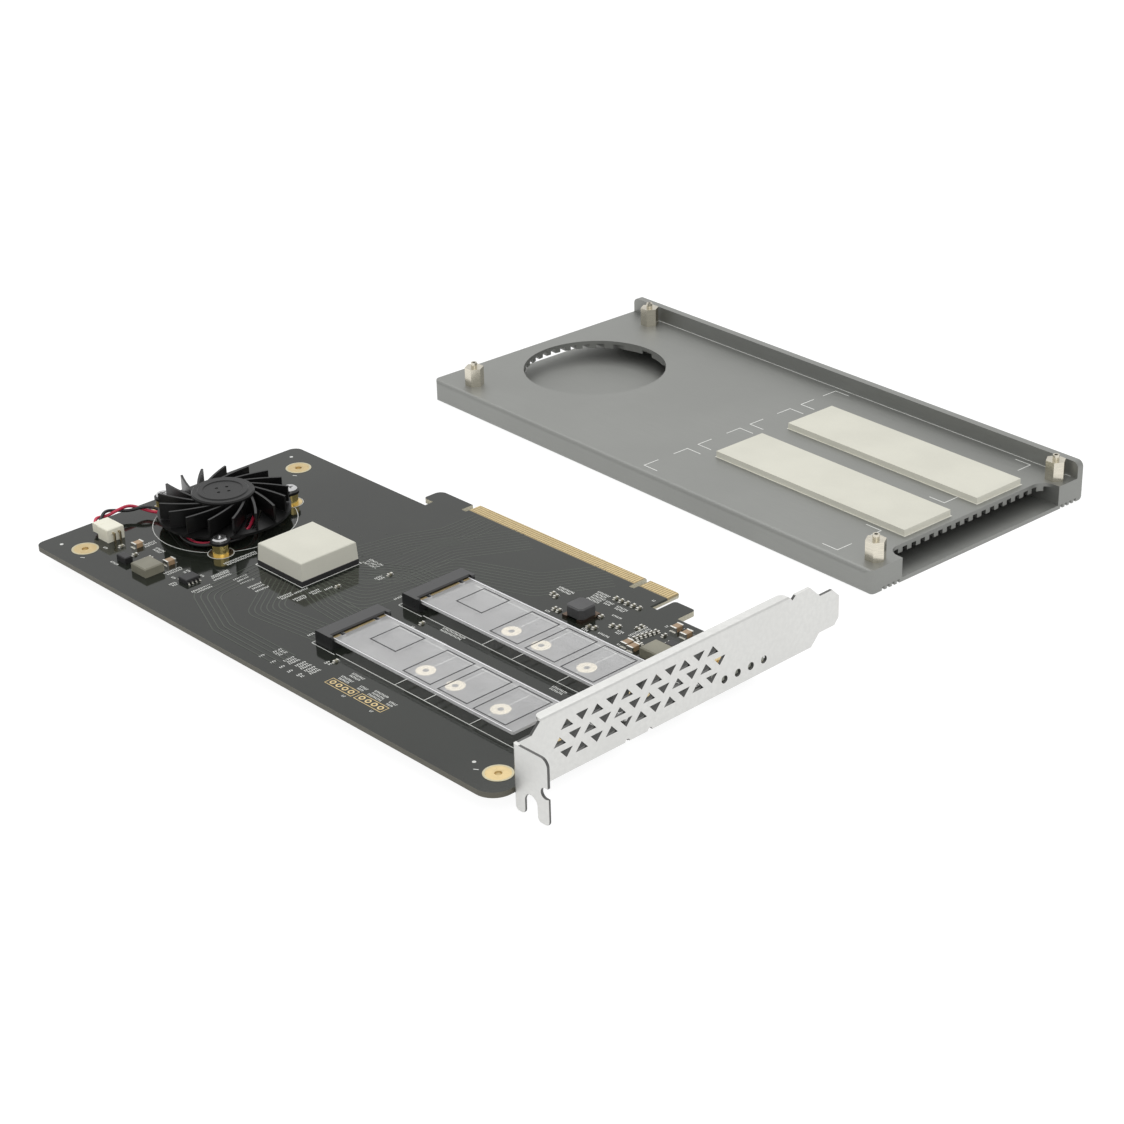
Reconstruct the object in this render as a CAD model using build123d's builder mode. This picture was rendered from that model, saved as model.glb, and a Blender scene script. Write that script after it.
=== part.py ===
from build123d import *
import os
from math import atan2, cos, degrees, pi, radians, sin, tan

os.makedirs("parts", exist_ok=True)

# An expansion card for solid-state modules, with its finned cover taken off and laid behind it,
# inner side up. Lengths are millimetres. Card sizes run from the board's near left corner,
# X towards the bracket, Y towards the edge contacts, and heights from the board's top face.

# Board
board_length = 204.6
board_width = 98.8
board_thickness = 1.6
board_corner = 3.0
board_bracket_corner = 6.0

# Edge connector tab: short and long contact fields with the key between them, from the bracket end
tab_start_inset = 128.6
tab_start = board_length - tab_start_inset
tab_depth = 11.9
tab_long_field = 71.65
tab_key = 1.9
tab_short_field = 11.65
tab_corner = 1.2
tab_bevel = 0.4
key_depth = 7.2
contact_pitch = 1.0
contact_width = 0.7
contact_length = 4.3
contact_film = 0.05
contact_setback = 0.5

# Retention hook beside the tab, and the short tab beside the bracket
hook_gap = 1.6
hook_length = 14.9
hook_reach = 10.2
hook_neck_cut = 4.4
hook_neck_height = 3.2
hook_web = 5.6
side_tab_gap = 2.4
side_tab_length = 8.0
side_tab_reach = 7.2

# Corner holes, which take the cover's standoffs
corner_hole_x = 13.6
corner_hole_y = 8.9
corner_hole_span_x_inset = 7.7
corner_hole_span_x = board_length - corner_hole_x - corner_hole_span_x_inset
corner_hole_span_y_inset = 9.7
corner_hole_span_y = board_width - corner_hole_y - corner_hole_span_y_inset
corner_hole = 2.2
corner_pad = 8.1
corner_pad_bore = 3.0
pad_film = 0.05

# Slot bracket, whose places run from its near end and keep their distance from the edge contacts
bracket_gap = 0.6
bracket_thickness = 0.86
bracket_start_inset = 92.1
bracket_start = board_width - bracket_start_inset
bracket_length = 120.0
bracket_crown = 16.3
bracket_low_crown = 13.1
bracket_flange = 3.1
bracket_flange_end_offset = 99.6
bracket_flange_end = bracket_start + bracket_flange_end_offset
bracket_bend = 1.0
tongue_low = 0.8
tongue_high = 12.1
tongue_shoulder_offset = 112.1
tongue_shoulder = bracket_start + tongue_shoulder_offset
tab_reach = 11.43
leg_drop = 6.0
leg_width = 3.6
screw_notch = 4.4
notch_top = 0.4
side_notch = 3.2
side_notch_height = 3.4
foot_length = 8.5
foot_width = 7.2
foot_near_offset = 42.5
foot_near = bracket_start + foot_near_offset
foot_far_offset = 67.3
foot_far = bracket_start + foot_far_offset
foot_relief = 0.8
bracket_screw = 2.5

# Vents in the bracket: three rows of triangles and four round windows
vent_pitch = 5.25
vent_base = 4.3
vent_height = 2.45
vent_starts = (17.5, 14.9, 17.1)
vent_lines = (10.6, 6.3, 2.05)
vent_counts = (11, 12, 11)
window_first_offset = 74.5
window_first = bracket_start + window_first_offset
window_pitch = 5.1
window_count = 4
window_height = 1.25
window_width = 2.3

# Module sockets and the see-through blanks in them
row_near_inset = 68.0
row_near = board_width - row_near_inset
row_far_inset = 36.9
row_far = board_width - row_far_inset
module_datum_inset = 91.0
module_datum = board_length - module_datum_inset
socket_back_inset = 3.6
socket_back = module_datum - socket_back_inset
socket_depth = 6.8
socket_width = 21.9
socket_height = 4.1
socket_cheek = 1.2
socket_roof = 5.4
slot_floor = 2.5
blank_thickness = 0.8
blank_clearance = 0.1
blank_width = 19.2
blank_end_offset = 75.4
blank_end = module_datum + blank_end_offset
blank_key = 1.2
blank_key_depth = 3.6
blank_key_offset = 6.1
strip_film = 0.05
strip_length = 2.4
hole_steps = (30.0, 42.0, 60.0, 80.0)
hole_pad = 5.6
hole_bore = 1.8
tail_pitch = 0.5
tail_width = 0.22
tail_length = 0.9
tail_height = 0.15

# Switch chip and its thermal pad
chip_x = 69.8
chip_y = 48.9
chip_size = 21.0
chip_height = 1.5
chip_pad_base = 20.8
chip_pad_top = 20.2
chip_pad_height = 5.5

# Fan
fan_x = 28.4
fan_y = 49.6
post_circle = 22.2
post_start = -40.0
post_count = 3
post_diameter = 5.0
post_height = 3.4
fan_screw_head = 4.7
fan_screw_head_height = 1.0
fan_screw_shank = 2.0
fan_screw_hole = 2.3
disc_thickness = 0.8
disc_radius = 20.2
ear_radius = 2.9
lead_slot_width = 3.3
lead_slot_start = (5.4, 9.2)
lead_slot_end = (16.4, -2.6)
motor_board_radius = 10.8
motor_board_thickness = 0.3
hub_radius = 9.6
hub_crown = 10.7
hub_wall = 0.9
hub_start = 4.6
blade_count = 17
blade_start = 4.6
blade_thickness = 0.7
blade_tip_radius = 19.5
blade_top = 9.6
blade_sweep = 36.0
blade_bow = 0.35
blade_phase = 8.0
magnet_wall = 1.1
magnet_height = 4.4
air_gap = 0.4
stator_height = 4.2
stator_poles = 4
sleeve_radius = 2.3
shaft_diameter = 2.0
shaft_clearance = 0.03

# Fan lead, its plug and the header on the board
lead_diameter = 1.0
lead_twist_radius = 0.66
lead_turn_count = 1
lead_straight = 1.6
lead_side_count = 8
header_x = 10.4
header_y = 15.8
header_length = 5.2
header_width = 5.9
header_height = 4.2
header_pin = 0.5
header_pin_pitch = 2.0
header_pin_reach = 1.1
header_pin_rise = 3.0
plug_length = 2.9
plug_height = 3.0
plug_lift = 1.2

# Soldered parts. Far spots are distances from the board's bracket end and from its far edge,
# chip spots are distances from the switch chip's middle
coil_near_spot = (39.5, 13.4)
coil_near_size = (7.2, 6.6, 2.8)
coil_far_spot = (22.0, 19.4)
coil_far_size = (6.8, 6.4, 3.0)
diode_spot = (29.1, 12.5)
diode_size = (4.4, 2.6, 2.0)
capacitor_size = (3.2, 2.2, 1.5)
capacitor_spots = ((23.7, 20.8), (40.2, 20.6))
capacitor_far_spots = ((28.6, 4.8), (24.1, 5.6), (32.0, 20.6), (29.2, 21.0))
small_size = (1.6, 0.8, 0.6)
small_spots = ((20.4, 17.2), (28.1, 16.7))
small_level_spots = ((33.2, 17.0), (33.2, 18.8))
small_far_spots = (
    (82.2, 81.9), (82.1, 51.3), (69.1, 13.7), (67.2, 14.2), (61.9, 19.7), (60.2, 19.7), (54.0, 3.4),
    (51.8, 3.4), (49.6, 3.3), (47.3, 3.2), (45.0, 3.1), (47.4, 20.5), (45.6, 19.9), (43.1, 15.7),
    (41.2, 14.9), (49.1, 14.0), (28.6, 9.8),
)
small_chip_spots = ((23.0, 11.8), (18.0, -3.5))
small_far_level_spots = (
    (33.1, 16.5), (32.9, 15.1), (32.6, 13.7), (32.3, 12.3), (32.0, 10.9), (31.7, 9.5), (36.6, 10.2),
    (36.6, 12.0), (30.2, 17.6),
)
coil_middle_spot = (53.6, 17.3)
coil_middle_size = 6.6
coil_middle_height = 3.2
coil_frame_size = 7.6
coil_frame_height = 0.8

# Leaded chips: body across the legs, along them, height
memory_spot = (53.3, 18.3)
memory_size = (3.9, 4.9, 1.5)
memory_leg_count = 4
power_spot = (23.0, 12.4)
power_size = (3.2, 3.0, 1.1)
power_leg_count = 2
chip_leg_pitch = 1.27
chip_leg_reach = 1.0
chip_leg_width = 0.42
chip_leg_height = 0.7
chip_foot_height = 0.2

# Test pads, from the board's bracket end
test_pitch = 2.54
test_count = 4
test_row_ends = (70.1, 57.9)
test_line = 9.3
test_ring = 1.9
test_hole = 1.0

# Cover: an extruded profile with a floor, two side rails, a finned inner plate and a lip
cover_x = -8.0
cover_y = 164.1
cover_turn = -2.56
cover_length_inset = 3.0
cover_length = board_length - cover_length_inset
cover_width_inset = 4.0
cover_width = board_width - cover_width_inset
cover_height = 7.7
cover_floor = 1.3
cover_plate = 1.2
rail_near = 13.5
rail_far = 11.0
cover_edge = 1.4
cover_foot_edge = 1.2
cover_corner = 2.5
lip_height = 12.9
lip_thickness = 2.5
lip_corner = 2.0
fin_pitch = 3.87
fin_width = 1.9
fin_height = 1.5
foot_groove = 1.1
foot_groove_pitch = 2.1
foot_groove_count = 4
fan_opening_x = 30.2
fan_opening_y = 46.6
fan_opening = 48.8
mouth_depth = 6.4
mouth_corner = 4.5

# Cover standoffs and thermal pads
standoff_x = 13.3
standoff_y = 7.4
standoff_across = 5.6
standoff_height = 6.3
standoff_tip = 2.1
standoff_tip_height = 1.6
standoff_bore = 1.1
standoff_stud = 2.5
standoff_stud_length = 4.0
cover_pad_x_inset = 88.4
cover_pad_x = cover_length - cover_pad_x_inset
cover_pad_length = 79.2
cover_pad_width = 20.2
cover_pad_thickness = 2.0
cover_pad_near_inset = 60.4
cover_pad_near = cover_width - cover_pad_near_inset
cover_pad_far_inset = 28.4
cover_pad_far = cover_width - cover_pad_far_inset

# Worked out from the sizes above
tab_length = tab_long_field + tab_key + tab_short_field
board_top = leg_drop
bracket_x = board_length + bracket_gap + bracket_thickness
bracket_low = -(board_thickness + bracket_thickness)
cover_far_corner = cover_y + cover_width * cos(radians(cover_turn))
cover_lean = radians(-cover_turn)
cover_left = cover_x + cover_corner * (cos(cover_lean) + sin(cover_lean) - 1)
card_x = -(cover_left + bracket_x + tab_reach) / 2
card_y = -cover_far_corner / 2
module_rows = (("near", row_near), ("far", row_far))
LOW = (Align.MIN, Align.MIN)
SEAT = (Align.CENTER, Align.CENTER, Align.MIN)


def card_plane(height=0.0):
    """A level plane over the card, with its origin at the board's near left corner."""
    return Plane(origin=(card_x, card_y, board_top + height))


def fan_plane(height=0.0):
    """A level plane centred on the fan's axis."""
    return Plane(origin=(card_x + fan_x, card_y + fan_y, board_top + height))


def cover_plane(height=0.0):
    """A level plane over the cover, with its origin at the cover's near left corner."""
    along = (cos(radians(cover_turn)), sin(radians(cover_turn)), 0)
    return Plane(origin=(card_x + cover_x, card_y + cover_y, height), x_dir=along, z_dir=(0, 0, 1))


def save(part, name):
    """Name a finished piece and write it."""
    part.label = name
    export_step(part, f"parts/{name}.step")


def corner_hole_spots():
    """The four corner holes, in card sizes."""
    across = (corner_hole_x, corner_hole_x + corner_hole_span_x)
    return [(x, y) for x in across for y in (corner_hole_y, corner_hole_y + corner_hole_span_y)]


def module_hole_spots():
    """The holes for module standoffs in both rows, in card sizes."""
    return [(module_datum + step, row) for _, row in module_rows for step in hole_steps]


# Board, with the edge connector tab, the retention hook and the short tab beside the bracket
tab_end = tab_start + tab_length
key_centre = tab_start + tab_long_field + tab_key / 2
hook_end = tab_start - hook_gap
hook_start = hook_end - hook_length
side_tab_start = tab_end + side_tab_gap
hook_neck_line = board_width + hook_neck_height
with BuildPart() as pcb:
    with BuildSketch(card_plane(-board_thickness)) as board_outline:
        Rectangle(board_length, board_width, align=LOW)
        fillet(board_outline.vertices().group_by(Axis.X)[0], board_corner)
        fillet(board_outline.vertices().group_by(Axis.Y)[0].sort_by(Axis.X)[-1], board_bracket_corner)
    extrude(amount=board_thickness)
    with BuildSketch(card_plane(-board_thickness)):
        with BuildSketch(mode=Mode.PRIVATE) as edge_tab:
            with Locations((tab_start, board_width - tab_corner)):
                Rectangle(tab_length, tab_depth + tab_corner, align=LOW)
            fillet(edge_tab.vertices().group_by(Axis.Y)[-1], tab_corner)
        add(edge_tab.sketch)
        with Locations((key_centre, board_width + tab_depth)):
            Rectangle(tab_key, key_depth, align=(Align.CENTER, Align.MAX), mode=Mode.SUBTRACT)
        with BuildSketch(mode=Mode.PRIVATE) as hook:
            with Locations((hook_start, board_width - board_corner)):
                Rectangle(hook_length, hook_reach + board_corner, align=LOW)
            with Locations((hook_start, hook_neck_line)):
                Rectangle(hook_neck_cut, hook_reach + board_corner, align=(Align.MIN, Align.MAX),
                          mode=Mode.SUBTRACT)
            head = hook.vertices().group_by(Axis.Y)[-1].sort_by(Axis.X)
            fillet(head[0], hook_reach * 0.25)
            fillet(head[-1], tab_corner)
            fillet(hook.vertices().group_by(Axis.X)[0].sort_by(Axis.Y)[0], tab_corner)
        add(hook.sketch)
        with Locations((hook_end, board_width)):
            Rectangle(hook_gap, hook_web, align=LOW)
        with BuildSketch(mode=Mode.PRIVATE) as side_tab:
            with Locations((side_tab_start, board_width - tab_corner)):
                Rectangle(side_tab_length, side_tab_reach + tab_corner, align=LOW)
            fillet(side_tab.vertices().group_by(Axis.Y)[-1], tab_corner)
        add(side_tab.sketch)
    extrude(amount=board_thickness)
    tab_rims = pcb.edges().filter_by(Axis.X).group_by(Axis.Y)[-1]
    chamfer(tab_rims, tab_bevel)
    with BuildSketch(card_plane()):
        with Locations(*corner_hole_spots()):
            Circle(corner_hole / 2)
        with Locations(*module_hole_spots()):
            Circle(hole_bore / 2)
    extrude(amount=-board_thickness, mode=Mode.SUBTRACT)
    with BuildSketch(card_plane()):
        with Locations((bracket_x - bracket_thickness - foot_length / 2, foot_near),
                       (bracket_x - bracket_thickness - foot_length / 2, foot_far)):
            Circle(bracket_screw / 2 + 0.1)
    extrude(amount=-board_thickness, mode=Mode.SUBTRACT)
save(pcb.part, "pcb")

# Contacts on both faces of the tab, left out where the key is
contact_end = board_width + tab_depth - contact_setback
contact_line = contact_end - contact_length / 2
long_count = int(tab_long_field / contact_pitch)
short_count = int(tab_short_field / contact_pitch)
contact_fields = (
    (tab_start + tab_long_field / 2, long_count),
    (tab_end - tab_short_field / 2, short_count),
)
with BuildPart() as edge_contacts:
    with BuildSketch(card_plane(), card_plane(-board_thickness - contact_film)):
        for centre, count in contact_fields:
            with Locations((centre, contact_line)):
                with GridLocations(contact_pitch, 0, count, 1):
                    Rectangle(contact_width, contact_length)
    extrude(amount=contact_film)
save(edge_contacts.part, "edge_contacts")

# Plated rings round the corner holes
with BuildPart() as corner_pads:
    with BuildSketch(card_plane()):
        with Locations(*corner_hole_spots()):
            Circle(corner_pad / 2)
            Circle(corner_pad_bore / 2, mode=Mode.SUBTRACT)
    extrude(amount=pad_film)
save(corner_pads.part, "corner_pads")

# Plated rings round the module holes
with BuildPart() as module_hole_pads:
    with BuildSketch(card_plane()):
        with Locations(*module_hole_spots()):
            Circle(hole_pad / 2)
            Circle(hole_bore / 2, mode=Mode.SUBTRACT)
    extrude(amount=pad_film)
save(module_hole_pads.part, "module_hole_pads")

# Slot bracket: face with tongue, folded crown flange, bent screw tab with two legs, and two feet
bracket_end = bracket_start + bracket_length
crown_start = bracket_start + 9.0
face_origin = (card_x + bracket_x, card_y, board_top)
face_plane = Plane(origin=face_origin, x_dir=(0, 1, 0), z_dir=(1, 0, 0))
tab_plane = Plane(origin=(card_x + bracket_x, card_y + bracket_start, board_top), x_dir=(1, 0, 0),
                  z_dir=(0, -1, 0))
tongue_slope = bracket_crown - tongue_high
vent = Polygon((-vent_base / 2, 0), (vent_base / 2, 0), (0, vent_height), align=None, mode=Mode.PRIVATE)
with BuildPart() as bracket:
    with BuildSketch(face_plane) as face:
        with BuildLine():
            Polyline(
                (bracket_start, bracket_low),
                (bracket_start, bracket_low_crown),
                (crown_start - 3.4, bracket_low_crown),
                (crown_start, bracket_crown),
                (bracket_flange_end, bracket_crown),
                (bracket_flange_end + 1.3, bracket_crown - 1.4),
                (bracket_flange_end + 2.8, bracket_crown - 0.2),
                (tongue_shoulder - tongue_slope, bracket_crown - 0.2),
                (tongue_shoulder, tongue_high),
                (bracket_end - 2.9, tongue_high),
                (bracket_end, tongue_high - 2.7),
                (bracket_end, tongue_low + 1.9),
                (bracket_end - 1.7, tongue_low),
                (tongue_shoulder, tongue_low),
                (tongue_shoulder - 3.3, bracket_low),
                close=True,
            )
        make_face()
        for index, (start, line, count) in enumerate(zip(vent_starts, vent_lines, vent_counts)):
            for step in range(count):
                upside_down = (step + index // 2) % 2
                centre = (bracket_start + start + step * vent_pitch, line + upside_down * vent_height)
                with Locations(Location(centre, 180 * upside_down)):
                    add(vent, mode=Mode.SUBTRACT)
        with Locations((window_first + (window_count - 1) * window_pitch / 2, window_height)):
            with GridLocations(window_pitch, 0, window_count, 1):
                Circle(window_width / 2, mode=Mode.SUBTRACT)
        with Locations((foot_near - foot_width / 2 - 0.5, bracket_low),
                       (foot_near + foot_width / 2 + 0.5, bracket_low)):
            Circle(foot_relief, mode=Mode.SUBTRACT)
    extrude(amount=-bracket_thickness)
    with BuildSketch(card_plane(bracket_crown)) as flange:
        with Locations((bracket_x - bracket_flange, crown_start)):
            Rectangle(bracket_flange, bracket_flange_end - crown_start, align=LOW)
        fillet(flange.vertices().group_by(Axis.X)[0], bracket_flange * 0.6)
    extrude(amount=-bracket_thickness)
    with BuildSketch(tab_plane) as screw_tab:
        with Locations((-bracket_thickness, -leg_drop)):
            Rectangle(tab_reach + bracket_thickness, leg_drop + bracket_low_crown, align=LOW)
        fillet(screw_tab.vertices().group_by(Axis.Y)[-1].sort_by(Axis.X)[-1], 2.4)
        with Locations((tab_reach, side_notch_height)):
            SlotOverall(side_notch * 1.6, side_notch, mode=Mode.SUBTRACT)
        notch_centre = leg_width - bracket_thickness + screw_notch / 2
        with Locations((notch_centre, notch_top - screw_notch / 2)):
            Circle(screw_notch / 2, mode=Mode.SUBTRACT)
            Rectangle(screw_notch, leg_drop * 2, align=(Align.CENTER, Align.MAX), mode=Mode.SUBTRACT)
        fillet(screw_tab.vertices().group_by(Axis.Y)[0], leg_width * 0.42)
    extrude(amount=-bracket_thickness)
    with BuildSketch(card_plane(bracket_low)) as feet:
        for foot in (foot_near, foot_far):
            with Locations((bracket_x - bracket_thickness / 2, foot)):
                Rectangle(foot_length + bracket_thickness / 2 * 3, foot_width,
                          align=(Align.MAX, Align.CENTER))
        fillet(feet.vertices().group_by(Axis.X)[0], 1.5)
        with Locations((bracket_x - bracket_thickness - foot_length / 2, foot_near),
                       (bracket_x - bracket_thickness - foot_length / 2, foot_far)):
            Circle(bracket_screw / 2, mode=Mode.SUBTRACT)
    extrude(amount=bracket_thickness)
    crown_edge = bracket.edges().filter_by(Axis.Y).group_by(Axis.Z)[-1].group_by(Axis.X)[-1]
    fillet(crown_edge, bracket_bend * 0.7)
    bend_edge = bracket.edges().filter_by(Axis.Z).filter_by_position(
        Axis.Y, card_y + bracket_start - 0.01, card_y + bracket_start + 0.01).filter_by_position(
        Axis.X, card_x + bracket_x - bracket_thickness - 0.01, card_x + bracket_x - bracket_thickness + 0.01)
    fillet(bend_edge.sort_by(Axis.Z)[-1], bracket_bend * 0.7)
save(bracket.part, "bracket")

# Bracket screws, put in from the board's top side into the feet
with BuildPart() as bracket_screws:
    foot_line = bracket_x - bracket_thickness - foot_length / 2
    for foot in (foot_near, foot_far):
        with BuildSketch(card_plane()):
            with Locations((foot_line, foot)):
                Circle(bracket_screw * 0.95)
        extrude(amount=1.5)
        with BuildSketch(card_plane()):
            with Locations((foot_line, foot)):
                Circle(bracket_screw / 2)
        extrude(amount=-(board_thickness + bracket_thickness))
        with BuildSketch(card_plane(1.5)):
            with Locations((foot_line, foot)):
                Rectangle(bracket_screw * 1.1, 0.5)
                Rectangle(0.5, bracket_screw * 1.1)
        extrude(amount=-0.7, mode=Mode.SUBTRACT)
    head_rims = bracket_screws.edges().filter_by(GeomType.CIRCLE).group_by(Axis.Z)[-1]
    chamfer(head_rims, 0.35)
save(bracket_screws.part, "bracket_screws")

# Indicator lamps behind the bracket's round windows
with BuildPart() as indicator_lamps:
    with BuildSketch(card_plane()):
        with Locations((board_length - 1.0, window_first + (window_count - 1) * window_pitch / 2)):
            with GridLocations(0, window_pitch, 1, window_count):
                Rectangle(2.0, 3.0)
    extrude(amount=window_height + window_width / 2 - 0.4)
    lamp_rims = indicator_lamps.edges().filter_by(Axis.Y).group_by(Axis.Z)[-1]
    chamfer(lamp_rims, 0.3)
save(indicator_lamps.part, "indicator_lamps")


def module_socket(row):
    """A socket housing: cheeks, a roof set back from the mouth and a slot for the module's edge."""
    mouth = socket_back + socket_depth
    with BuildPart() as socket:
        with BuildSketch(card_plane()) as plan:
            with Locations((socket_back, row)):
                Rectangle(socket_depth, socket_width, align=(Align.MIN, Align.CENTER))
            chamfer(plan.vertices().group_by(Axis.X)[-1], socket_cheek * 0.45)
        extrude(amount=socket_height)
        with BuildSketch(card_plane(slot_floor)):
            with Locations((mouth, row)):
                Rectangle(socket_depth - socket_roof, socket_width - 2 * socket_cheek,
                          align=(Align.MAX, Align.CENTER))
        extrude(amount=socket_height, mode=Mode.SUBTRACT)
        with BuildSketch(card_plane(slot_floor)):
            with Locations((module_datum - 0.6, row)):
                Rectangle(socket_depth, socket_width - 2 * socket_cheek, align=(Align.MIN, Align.CENTER))
        extrude(amount=blank_thickness + 2 * blank_clearance, mode=Mode.SUBTRACT)
        roof_rims = socket.edges().filter_by(Axis.Y).group_by(Axis.Z)[-1]
        chamfer(roof_rims, 0.4)
    return socket.part


def module_blank(row):
    """A see-through module blank with its two key slots at the socket end."""
    with BuildPart() as blank:
        with BuildSketch(card_plane(slot_floor)) as plan:
            with Locations((module_datum - 0.5, row)):
                Rectangle(blank_end - module_datum + 0.5, blank_width, align=(Align.MIN, Align.CENTER))
            fillet(plan.vertices().group_by(Axis.X)[-1], 0.6)
            with Locations((module_datum - 0.5, row - blank_key_offset),
                           (module_datum - 0.5, row + blank_key_offset)):
                Rectangle(blank_key_depth, blank_key, align=(Align.MIN, Align.CENTER), mode=Mode.SUBTRACT)
        extrude(amount=blank_thickness)
    return blank.part


def blank_strip(row):
    """The plated edge strip of a blank, in three lengths between the key slots."""
    outer = (blank_width / 2 - blank_key_offset - blank_key / 2) - 0.6
    inner = 2 * blank_key_offset - blank_key - 0.4
    outer_line = blank_key_offset + blank_key / 2 + 0.2 + outer / 2
    with BuildPart() as strip:
        with BuildSketch(card_plane(slot_floor + blank_thickness)):
            for offset, width in ((-outer_line, outer), (0, inner), (outer_line, outer)):
                with Locations((module_datum + 0.4, row + offset)):
                    Rectangle(strip_length, width, align=(Align.MIN, Align.CENTER))
        extrude(amount=strip_film)
    return strip.part


def socket_tails(row):
    """The solder tails along the back of a socket."""
    count = int((socket_width - 2 * socket_cheek) / tail_pitch / 2)
    with BuildPart() as tails:
        with BuildSketch(card_plane()):
            with Locations((socket_back, row)):
                with GridLocations(0, tail_pitch * 2, 1, count):
                    Rectangle(tail_length, tail_width * 2, align=(Align.MAX, Align.CENTER))
        extrude(amount=tail_height)
    return tails.part


for place, row in module_rows:
    save(module_socket(row), f"module_socket_{place}")
    save(module_blank(row), f"module_blank_{place}")
    save(blank_strip(row), f"blank_strip_{place}")
    save(socket_tails(row), f"socket_tails_{place}")

# Switch chip and the gum pad on it
with BuildPart() as switch_chip:
    with BuildSketch(card_plane()):
        with Locations((chip_x, chip_y)):
            Rectangle(chip_size, chip_size)
    extrude(amount=chip_height)
    chamfer(switch_chip.edges().group_by(Axis.Z)[-1], 0.2)
save(switch_chip.part, "switch_chip")

with BuildPart() as switch_thermal_pad:
    with BuildSketch(card_plane(chip_height)):
        with Locations((chip_x, chip_y)):
            Rectangle(chip_pad_base, chip_pad_base)
    with BuildSketch(card_plane(chip_height + chip_pad_height)):
        with Locations((chip_x, chip_y)):
            Rectangle(chip_pad_top, chip_pad_top)
    loft()
    chamfer(switch_thermal_pad.edges().group_by(Axis.Z)[-1], 0.25)
save(switch_thermal_pad.part, "switch_thermal_pad")

# Fan posts and screws
disc_top = post_height + disc_thickness
with BuildPart() as fan_posts:
    with BuildSketch(fan_plane()):
        with PolarLocations(post_circle, post_count, post_start):
            Circle(post_diameter / 2)
            Circle(fan_screw_shank / 2, mode=Mode.SUBTRACT)
    extrude(amount=post_height)
save(fan_posts.part, "fan_posts")

with BuildPart() as fan_screws:
    with BuildSketch(fan_plane(disc_top)):
        with PolarLocations(post_circle, post_count, post_start):
            Circle(fan_screw_head / 2)
    extrude(amount=fan_screw_head_height)
    chamfer(fan_screws.edges().filter_by(GeomType.CIRCLE).group_by(Axis.Z)[-1], 0.4)
    with BuildSketch(fan_plane(disc_top)):
        with PolarLocations(post_circle, post_count, post_start):
            Circle(fan_screw_shank / 2)
    extrude(amount=-(disc_top - 0.4))
    with BuildSketch(fan_plane(disc_top + fan_screw_head_height)):
        with PolarLocations(post_circle, post_count, post_start):
            Rectangle(fan_screw_head * 0.5, 0.55)
            Rectangle(0.55, fan_screw_head * 0.5)
    extrude(amount=-0.6, mode=Mode.SUBTRACT)
save(fan_screws.part, "fan_screws")

# Fan base: a disc with three ears on the posts, a slot for the lead, and the bearing sleeve
hub_ceiling = hub_crown - hub_wall
sleeve_top = hub_ceiling - 0.3
lead_slot_turn = degrees(atan2(lead_slot_end[1] - lead_slot_start[1], lead_slot_end[0] - lead_slot_start[0]))
lead_slot_middle = ((lead_slot_start[0] + lead_slot_end[0]) / 2, (lead_slot_start[1] + lead_slot_end[1]) / 2)
lead_slot_length = (Vector(*lead_slot_end) - Vector(*lead_slot_start)).length
with BuildPart() as fan_base:
    with BuildSketch(fan_plane(post_height)):
        Circle(disc_radius)
        with PolarLocations(post_circle, post_count, post_start):
            Circle(ear_radius)
            Rectangle(post_circle - disc_radius + ear_radius, ear_radius * 2, align=(Align.MAX, Align.CENTER))
        with PolarLocations(post_circle, post_count, post_start):
            Circle(fan_screw_hole / 2, mode=Mode.SUBTRACT)
        with Locations(Location(lead_slot_middle, lead_slot_turn)):
            SlotCenterToCenter(lead_slot_length, lead_slot_width, mode=Mode.SUBTRACT)
    extrude(amount=disc_thickness)
    with BuildSketch(fan_plane(disc_top)):
        Circle(sleeve_radius)
    extrude(amount=sleeve_top - disc_top)
    with BuildSketch(fan_plane(sleeve_top)):
        Circle(shaft_diameter / 2 + shaft_clearance)
    extrude(amount=-(sleeve_top - disc_top), mode=Mode.SUBTRACT)
save(fan_base.part, "fan_base")

# Motor inside the hub: a thin board and wound core round the sleeve, a magnet ring in the cup, a shaft
cup_radius = hub_radius - hub_wall
magnet_inner = cup_radius - magnet_wall
core_radius = magnet_inner - air_gap
core_base = disc_top + motor_board_thickness
with BuildPart() as motor_board:
    with BuildSketch(fan_plane(disc_top)):
        Circle(motor_board_radius)
        Circle(sleeve_radius, mode=Mode.SUBTRACT)
    extrude(amount=motor_board_thickness)
save(motor_board.part, "motor_board")

with BuildPart() as fan_stator:
    with BuildSketch(fan_plane(core_base)):
        Circle(core_radius)
        Circle(sleeve_radius, mode=Mode.SUBTRACT)
        with PolarLocations(core_radius, stator_poles, 45):
            Rectangle(core_radius * 0.8, 1.6, mode=Mode.SUBTRACT)
    extrude(amount=stator_height)
save(fan_stator.part, "fan_stator")

with BuildPart() as fan_magnet:
    with BuildSketch(fan_plane(hub_ceiling)):
        Circle(cup_radius)
        Circle(magnet_inner, mode=Mode.SUBTRACT)
    extrude(amount=-magnet_height)
save(fan_magnet.part, "fan_magnet")

with BuildPart() as fan_shaft:
    with BuildSketch(fan_plane(disc_top + 0.1)):
        Circle(shaft_diameter / 2)
    extrude(amount=hub_ceiling - disc_top - 0.1)
save(fan_shaft.part, "fan_shaft")

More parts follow.
